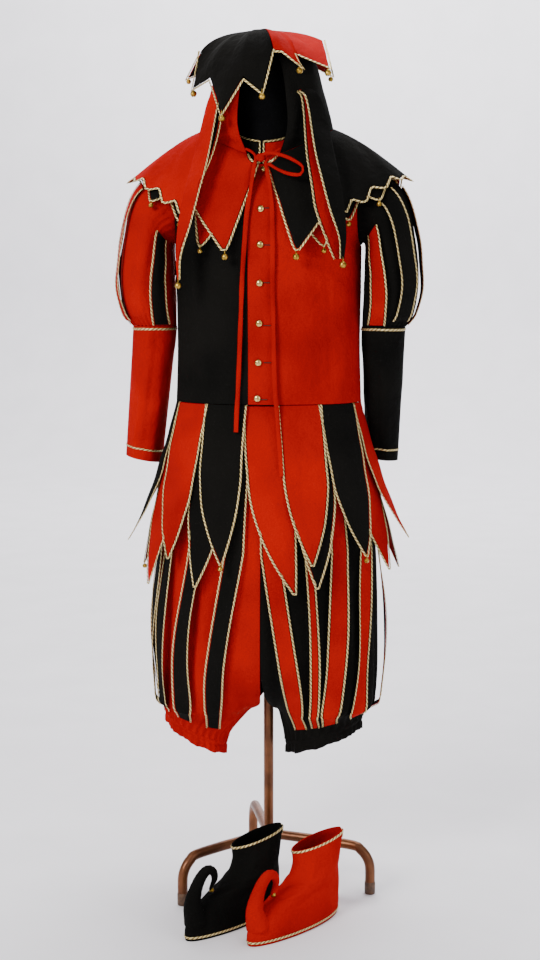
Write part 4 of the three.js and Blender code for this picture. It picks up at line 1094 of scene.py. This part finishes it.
# Cape and under cape
capeHem = table(
    "turn x y z",
    (0, 10, -104, 1374), (0.1, 64, -140, 1219), (0.2, 106, -128, 1278), (0.24, 124, -118, 1306),
    (0.29, 150, -106, 1288), (0.31, 156, -95, 1315), (0.355, 184, -84, 1308), (0.38, 190, -70, 1338),
    (0.42, 220, -58, 1334), (0.44, 224, -42, 1359), (0.475, 246, -32, 1350), (0.495, 246, -12, 1361),
    (0.53, 267, 4, 1350), (0.56, 244, 18, 1360), (0.6, 240, 48, 1336), (0.64, 212, 56, 1356),
    (0.69, 196, 90, 1310), (0.73, 164, 88, 1346), (0.79, 138, 124, 1276), (0.83, 108, 112, 1326),
    (0.89, 78, 142, 1236), (0.93, 48, 124, 1318), (1, 1.2, 146, 1226),
)
underHem = table(
    "turn x y z",
    (0.02, 26, -112, 1352), (0.1, 66, -126, 1290), (0.17, 116, -122, 1234), (0.25, 126, -108, 1312),
    (0.33, 160, -90, 1282), (0.38, 180, -72, 1332), (0.44, 216, -78, 1318), (0.5, 228, -22, 1362),
    (0.57, 242, 20, 1362), (0.64, 208, 60, 1360), (0.72, 176, 94, 1288), (0.8, 120, 108, 1322),
    (0.88, 92, 134, 1232), (0.95, 38, 126, 1300), (1, 1.2, 137, 1236),
)


def hemAt(rows, turn):
    last = len(rows) - 1
    k = max(1, next((i for i, row in enumerate(rows) if row["turn"] >= turn), last))
    p, q = rows[k - 1], rows[k]
    t = (turn - p["turn"]) / (q["turn"] - p["turn"])
    return Vector([mix(p[c], q[c], t) for c in "xyz"])


def capePoint(side, rows, drop):
    def point(turn, v):
        start = hoodPoint(1)(turn, 0)
        start.z -= seam + 0.3
        angle = mix(0.16, pi - 0.001, turn)
        shoulder = sin(angle) ** 2
        middle = oval(mix(150, 186, shoulder), mix(128, 112, shoulder), angle, 1374 + 47 * shoulder, 4)
        hem = (hemAt(rows, turn - 0.009) + hemAt(rows, turn) * 2 + hemAt(rows, turn + 0.009)) / 4
        p = bezier(start, middle, hem, v)
        inward = 1 - drop / 190
        return Vector((side * (p.x * inward + 0.4), p.y * inward, p.z - drop))

    return point


def densely(rows, step=0.009):
    # The rows' turns with more turns between them, so that each dag keeps its corners
    turns = []
    for p, q in zip(rows, rows[1:]):
        count = max(2, round((q["turn"] - p["turn"]) / step))
        turns += [mix(p["turn"], q["turn"], k / count) for k in range(count)]
    return turns + [rows[-1]["turn"]]


capeRelief = {
    -1: reliefOf(
        1.2,
        (0.05, 0.1, 0.1, 0.9, 0.03, 1.6), (0.17, 0.05, 0.2, 0.8, 0.03, 3.4),
        (0.22, 0.05, 0.25, 0.75, 0.025, -2.6), (0.33, 0.3, 0.36, 0.95, 0.03, 1.4),
        (0.42, 0.4, 0.43, 0.95, 0.03, 1.2), (0.7, 0.1, 0.72, 0.9, 0.04, 2.4),
        (0.85, 0.1, 0.9, 0.9, 0.04, 2.4),
    ),
    1: reliefOf(
        1.2,
        (0.05, 0.1, 0.12, 0.9, 0.03, 1.6), (0.19, 0.05, 0.22, 0.8, 0.03, 3.2),
        (0.25, 0.05, 0.27, 0.75, 0.025, -2.4), (0.35, 0.3, 0.37, 0.95, 0.03, 1.4),
        (0.46, 0.4, 0.46, 0.95, 0.03, 1.2), (0.68, 0.1, 0.7, 0.9, 0.04, 2.4),
        (0.86, 0.1, 0.88, 0.9, 0.04, 2.4),
    ),
}


def capeCore(p):
    return Vector((0, 0, 1240))


for side, colour, material, lining in halves:
    cape = clothGrid(capePoint(side, capeHem, 0), densely(capeHem), even(36), capeCore, capeRelief[side])
    trim = braidPiece("capeBraid_" + colour, [trimOf(cape, ["start", "down"])])
    clothPiece("cape_" + colour, [cape], material, lining, 1.4)
    place = "right" if side < 0 else "left"
    under = clothGrid(
        capePoint(side, underHem, 6.4), densely(underHem), even(30), capeCore,
        face=lambda u, v: 1 if u < 0.235 else 0,
    )
    trim = braidPiece("undercapeBraid_" + place, [trimOf(under, ["start", "down"])])
    clothPiece("undercape_" + place, [under], blackCloth, redCloth, 1.3)

# Ears
earTop = 1496
earTipHeight = {-1: 1168, 1: 1205}
earSeat = 1.7
earRows = table(
    "s foldX foldY edgeX edgeY innerX innerY",
    (0, 104, -64, 66, -100, 58, -102), (0.19, 114, -72, 81, -112, 72, -114),
    (0.33, 126, -88, 94, -122, 83, -124), (0.53, 140, -116, 111, -138, 95, -139),
    (0.7, 149, -128, 125, -146, 104, -147), (0.87, 152, -134, 141, -149, 122, -151),
    (1, 149, -140, 143, -149, 137, -150),
)


def earPoint(side):
    def point(u, v):
        edge = ("innerX", "innerY") if u < 0.5 else ("edgeX", "edgeY")
        t = abs(2 * u - 1)
        layer = (-1 if u < 0.5 else 1) * sin(pi / 2 * min(1, t / 0.12))
        apart = layer * mix(mix(4.5, 2.5, t), 2.5, smooth(max(0, 4 * v - 3)))
        edgeX = read(earRows, edge[0], v)
        if side < 0 and u < 0.5:
            edgeX = mix(edgeX, read(earRows, "edgeX", v) + 5, ease(v, 0.2, 0.48))
        x = mix(read(earRows, "foldX", v), edgeX, t) + 0.73 * apart
        y = mix(read(earRows, "foldY", v), read(earRows, edge[1], v), t) - 0.69 * apart
        hanging = Vector((side * x, y, mix(earTop, earTipHeight[side], v)))
        begins = ease(v, 0, 0.3)
        seat = hoodPoint(side)(mix(mix(0.2, 0.32, begins), mix(0.1, 0.16, begins), t), 0.53 - 0.34 * v)
        out = mix(-2.2 + 1.6 * layer, earSeat + 3 + 3 * layer, ease(v, -0.02, 0.1))
        seat += Vector((side * out, -0.5 * out, 0))
        return hanging.lerp(seat, smooth(max(0, 1 - v / 0.42)))

    return point


earColumns = [0, 0.06, 0.12, 0.18, 0.25, 0.32, 0.38, 0.42, 0.44, 0.46, 0.48, 0.5]
earColumns += [1 - u for u in reversed(earColumns[:-1])]
for side, colour, material, lining in halves:
    ear = clothGrid(earPoint(side), earColumns, even(70), lambda p: Vector((side * 90, -200, p.z)))
    trim = braidPiece("earBraid_" + colour, [trimOf(ear, ["start"], 3), trimOf(ear, ["end"], 3)], wide=3.8)
    clothPiece("ear_" + colour, [ear], material, lining, 1.3)
print("hood, cape and ears made")

# Cap in four quarters
crownX, crownY, crownZ = -12, -8, 1622
capQuarters = {
    "cap_front_black": (blackCloth, redCloth, table(
        "turn x y z",
        (0, -125, 0, 1588), (0.18, -138, -14, 1520), (0.36, -99, -64, 1532), (0.54, -71, -122, 1464),
        (0.7, -32, -120, 1527), (0.88, 2, -130, 1500), (1, 20, -122, 1572),
    )),
    "cap_front_red": (redCloth, blackCloth, table(
        "turn x y z",
        (0, 21, -122, 1572), (0.14, 36, -124, 1570), (0.34, 68, -124, 1545), (0.46, 60, -114, 1566),
        (0.72, 116, -88, 1545), (0.86, 108, -44, 1576), (1, 98, 0, 1604),
    )),
    "cap_back_black": (blackCloth, redCloth, table(
        "turn x y z",
        (0, 98, 1, 1604), (0.18, 112, 44, 1548), (0.36, 80, 84, 1568), (0.54, 66, 126, 1506),
        (0.7, 34, 116, 1552), (0.88, 8, 134, 1512), (1, 1, 118, 1574),
    )),
    "cap_back_red": (redCloth, blackCloth, table(
        "turn x y z",
        (0, 0, 118, 1574), (0.12, -10, 136, 1514), (0.25, -32, 116, 1556), (0.34, -72, 124, 1508),
        (0.4, -80, 118, 1532), (0.48, -98, 118, 1506), (0.64, -110, 76, 1568), (0.82, -156, 44, 1547),
        (1, -125, 1, 1588),
    )),
}


def capPoint(hem):
    middle = hem[3]
    asideX, asideY = 0.85 * (1 if middle["x"] > 0 else -1), 0.6 * (1 if middle["y"] > 0 else -1)
    start, end = (atan2(hem[k]["y"] - crownY, hem[k]["x"] - crownX) for k in (0, -1))
    while end - start > pi:
        end -= 2 * pi
    while start - end > pi:
        end += 2 * pi

    def point(turn, v):
        edge = hemAt(hem, turn)
        angle = mix(start, end, turn)
        crown = Vector((crownX + 7 * cos(angle), crownY + 7 * sin(angle), crownZ - 0.4))
        browX, browY = crownX + (80 - 8 * cos(angle)) * cos(angle), crownY + 100 * sin(angle)
        brow = Vector((browX, browY, crownZ - 2 + 3 * cos(4 * angle)))
        return bezier(crown, brow, edge, v) + Vector((asideX, asideY, 0))

    return point


for node, (material, lining, hem) in capQuarters.items():
    quarter = clothGrid(capPoint(hem), densely(hem, 0.02), even(36), lambda p: Vector((crownX, crownY, 1480)))
    trim = braidPiece(node + "_braid", [trimOf(quarter, ["down"], 4.2)])
    clothPiece(node, [quarter], material, lining, 1.4)
print("cap made")

# Shoes: ankle boots of cloth with a curled toe
shoePlaces = {"shoe_red": (redCloth, 135, -121, -124), "shoe_black": (blackCloth, 22, -110, -124)}
shoeRows = table(
    "s back toe wide height drop",
    (0, 0, 242, 38, 0.6, 0), (0.12, -3, 242, 40, 18, 0), (0.3, -3, 226, 38, 42, 0),
    (0.5, -1, 178, 35, 65, 0), (0.7, 1, 124, 33, 88, 7), (0.85, 1, 102, 31, 114, 11),
    (1, -3, 101, 24, 144, 14),
)
curlRows = table(
    "s x z r",
    (0, 218, 30, 22), (1, 227, 60, 16), (2, 219, 87, 12), (3, 204, 107, 10), (4, 187, 115, 8.8),
    (5, 172, 108, 7.4), (6, 168, 94, 5.8), (7, 175, 84, 3.6),
)
shoeRelief = reliefOf(
    1.5,
    (0.02, 0.5, 0.12, 0.62, 0.05, -1.8), (0.98, 0.5, 0.88, 0.62, 0.05, -1.8),
    (0.14, 0.7, 0.2, 0.95, 0.05, 1.2), (0.4, 0.3, 0.48, 0.8, 0.05, 1.4), (0.6, 0.3, 0.55, 0.8, 0.05, 1.4),
    (0.2, 0.4, 0.3, 0.6, 0.05, -1.4), (0.8, 0.4, 0.7, 0.6, 0.05, -1.4), (0.02, 0.62, 0.2, 0.66, 0.04, 1.5),
    (0.98, 0.62, 0.8, 0.66, 0.04, 1.5),
    strength=1.7,
)


def shoeAt(angle, s):
    row = {c: read(shoeRows, c, s) for c in shoeRows[0]}
    half = (row["toe"] - row["back"]) / 2
    taper = 1 - 0.16 * cos(angle) * (1 - s)
    slit = 15 * exp(-(((angle - pi) / 0.11) ** 2)) * ease(s, 0.8, 1)
    height = row["height"] - row["drop"] * cos(angle) - slit
    p = Vector((half * cos(angle), row["wide"] * taper * sin(angle), height))
    turn = Matrix.Rotation(radians(-24 * ease(s, 0.62, 1)), 3, "Z")
    return turn @ p + Vector((row["back"] + half, 0, 0))


def turnedTo(x, y, heading):
    turn = Matrix.Rotation(radians(heading), 3, "Z")
    return lambda p: turn @ p + Vector((x, y, 0))


toeTips = []
for node, (material, heelX, heelY, heading) in shoePlaces.items():
    onFloor = turnedTo(heelX, heelY, heading)
    upper = clothGrid(
        lambda u, v: onFloor(shoeAt(2 * pi * u, v)), around(120), even(50),
        lambda p: onFloor(Vector((80, 0, p.z))), shoeRelief, closed=True,
    )
    trim = braidPiece(node + "_braid", [braidRound(upper, -1, 3), braidRound(upper, 2)], wide=4.4)
    clothPiece(node, [upper], material, material, 2.2)
    outline = [onFloor(shoeAt(2 * pi * k / 64, 0)) for k in range(64)]
    soleRings = [[p + Vector((0, 0, h)) for p in outline] for h in (-0.4, 2.8)]
    loftPiece(node + "_sole", soleRings, blackCloth)
    rings = []
    for k in range(57):
        s = k / 8
        x, z, r = (read(curlRows, c, s) for c in "xzr")
        near = (max(0, s - 0.05), min(7, s + 0.05))
        before, after = (Vector((read(curlRows, "x", t), 0, read(curlRows, "z", t))) for t in near)
        across = (after - before).normalized().cross(Vector((0, 1, 0)))
        wrinkle = 1 + 0.05 * sin(2.2 * k) * between(s / 2, 0, 1)
        middle = Vector((x, 0, z))
        rings.append(
            ring(28, lambda t: onFloor(middle + across * (r * wrinkle * cos(t)) + Vector((0, r * sin(t), 0))))
        )
    loftPiece(node + "_toe", capped(rings, 0.5), material, sharp=70)
    toeTips.append(onFloor(Vector((176, 0, 82))))

# Buttons: bright brass domes with a rolled rim, square on the placket
buttonProfile = [
    (0.05, 0), (2.6, 0.3), (4.9, 0.9), (6.2, 1.8), (6.5, 2.6), (6.3, 3.5), (5.6, 4.5), (4.2, 5.5),
    (2.4, 6.1), (0.05, 6.3),
]
front = panelGrids["jacket_front_red"]
for number in range(1, 8):
    node = f"button_{number}"
    low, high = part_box(node)
    centre = [(a + b) / 2 * 1000 for a, b in zip(low, high)]
    spot = Vector((centre[0] - poleX * 1000, centre[1] - poleY * 1000, centre[2]))
    nearest = min(
        ((p - spot).length, j, i) for j, line in enumerate(front["points"]) for i, p in enumerate(line)
    )
    face = front["normals"][nearest[1]][nearest[2]]
    start = spot - face * 3.1
    side = face.cross(Vector((0, 0, 1))).normalized()
    up = side.cross(face)
    rings = []
    for r, h in buttonProfile:
        middle = start + face * h
        rings.append(ring(28, lambda t: middle + side * (r * cos(t)) + up * (r * sin(t))))
    loftPiece(f"brassButton{number}", rings, buttonBrass, [node], sharp=30)
    base = front["points"][nearest[1]][nearest[2]] + face * 0.3
    hole = [base + side * mix(-6, -21, t) for t in even(8)]
    bm, layer = newMesh()
    widths = [1.2] + [2.4] * 7 + [1.2]
    addTube(bm, layer, [ribbonRing(p, -side, face, wide, 0.9) for p, wide in zip(hole, widths)])
    newPiece(bm, f"buttonhole{number}", [darkStitch])

# Bells: brass balls with a seam round the middle, a slit below, a wire ring above and a stub of thread
bellRadius, smallBellRadius = 6.1, 4.6


def bellMesh(bm, layer, tip, radius):
    ringSize = 0.36 * radius
    ringCentre = Vector(tip) - Vector((0, 0, ringSize * 0.9))
    centre = ringCentre - Vector((0, 0, ringSize * 0.8 + radius))
    for vert in bmesh.ops.create_uvsphere(bm, u_segments=28, v_segments=22, radius=1)["verts"]:
        x, y, z = vert.co
        seamRise = 0.07 * exp(-((z / 0.07) ** 2))
        slit = -0.3 * exp(-((x / 0.1) ** 2)) * ease(-z, 0.1, 0.35)
        scale = radius * (1 + seamRise + slit)
        vert.co = metres(centre + Vector((x * scale, y * scale, z * scale * 1.04)))
    loop = ring(14, lambda t: ringCentre + Vector((0, ringSize * cos(t), ringSize * sin(t))))
    aheads = directions(loop[-1:] + loop + loop[:1])[1:-1]
    rings = [ribbonRing(p, a, Vector((1, 0, 0)), 0.3 * radius, 0.3 * radius, 6) for p, a in zip(loop, aheads)]
    addTube(bm, layer, rings, closed=True)
    threadEnds = [Vector(tip) + Vector((0, 0, h)) for h in (-1.2, 1.5, 4.5)]
    addTube(bm, layer, [ribbonRing(p, Vector((0, 0, 1)), Vector((0, 1, 0)), 1.2, 1.2, 6) for p in threadEnds])


def bellPiece(name, tips, radius, body="costume", nodes=()):
    bm, layer = newMesh()
    for tip in tips:
        bellMesh(bm, layer, tip, radius)
    bmesh.ops.recalc_face_normals(bm, faces=bm.faces)
    for face in bm.faces:
        face.smooth = True
    newPiece(bm, name, [brass], nodes, body)


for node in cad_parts:
    if node.startswith("bell_"):
        low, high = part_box(node)
        x, y = (low[0] + high[0]) * 500 - poleX * 1000, (low[1] + high[1]) * 500 - poleY * 1000
        bellPiece(node.replace("bell_", "brassBell_"), [(x, y, high[2] * 1000)], bellRadius, node, [node])

smallBells = list(toeTips)
for side in (-1, 1):
    dags = [row for row in underHem if row["turn"] in (0.17, 0.33, 0.44, 0.57, 0.72, 0.88)]
    smallBells += [(side * row["x"] * 0.966, row["y"] * 0.966, row["z"] - 7) for row in dags]
for layer, rows, places in ((0, petalRows, (-70, 149)), (underLayer, underPetalRows, (-267,))):
    own = [row for row in rows if row["place"] in places]
    smallBells += [petalPoint(row, layer, 0)(0.5, 1) + Vector((0, -3, -3)) for row in own]
for quarter in ("cap_back_black", "cap_back_red"):
    points = capQuarters[quarter][2][1:-1:2]
    smallBells += [(row["x"], row["y"], row["z"] - 1) for row in points]
bellPiece("smallBells", smallBells, smallBellRadius)
print("shoes, buttons and bells made")

# Floor, backdrop and light
wallStart, wallBend = 6.2, 1.2
sweep = [(-3.2, 0), (wallStart, 0)]
for k in range(1, 13):
    angle = k * pi / 24
    sweep.append((wallStart + wallBend * sin(angle), wallBend - wallBend * cos(angle)))
sweep.append((wallStart + wallBend, 6))
points = [(x, y, z) for y, z in sweep for x in (-7, 7)]
faces = [(2 * k, 2 * k + 1, 2 * k + 3, 2 * k + 2) for k in range(len(sweep) - 1)]
mesh = bpy.data.meshes.new("floor")
mesh.from_pydata(points, [], faces)
floor = bpy.data.objects.new("floor", mesh)
bpy.context.scene.collection.objects.link(floor)
for face in mesh.polygons:
    face.use_smooth = True
paper, paperShader = newMaterial("backdrop_paper", Roughness=0.95)
setColour(paper, paperShader, noise(paper, objectPlace(paper), 5, 2), "#eceaef", "#f1eff4", 0.3, 0.7)
mesh.materials.append(paper)


def areaLight(name, place, aim, size, power, colour):
    light = bpy.data.objects.new(name, bpy.data.lights.new(name, "AREA"))
    light.data.shape = "RECTANGLE"
    light.data.size, light.data.size_y = size
    light.data.energy = power
    light.data.color = colour
    light.location = place
    light.rotation_euler = (Vector(aim) - Vector(place)).to_track_quat("-Z", "Y").to_euler()
    bpy.context.scene.collection.objects.link(light)


areaLight("keyLight", (-1.8, -2.7, 2.5), (0, 0, 0.95), (1.2, 1.2), 112, (1, 0.985, 0.96))
areaLight("fillLight", (2.6, -2.2, 1.7), (0, 0, 0.9), (2.0, 2.0), 30, (0.97, 0.98, 1))
areaLight("topLight", (0.2, 0.9, 3.4), (0, 0.2, 0.8), (2.6, 2.2), 95, (1, 1, 1))
areaLight("wallLight", (0, 4.6, 4.4), (0, 7.4, 1.9), (5, 0.8), 370, (1, 1, 1))
areaLight("floorLight", (0, 2.6, 4.2), (0, 2.8, 0), (4, 2), 150, (1, 1, 1))
world = bpy.data.worlds.new("studio")
bpy.context.scene.world = world
world.use_nodes = True
world.node_tree.nodes["Background"].inputs["Color"].default_value = (0.9, 0.89, 0.92, 1)
world.node_tree.nodes["Background"].inputs["Strength"].default_value = 0.57
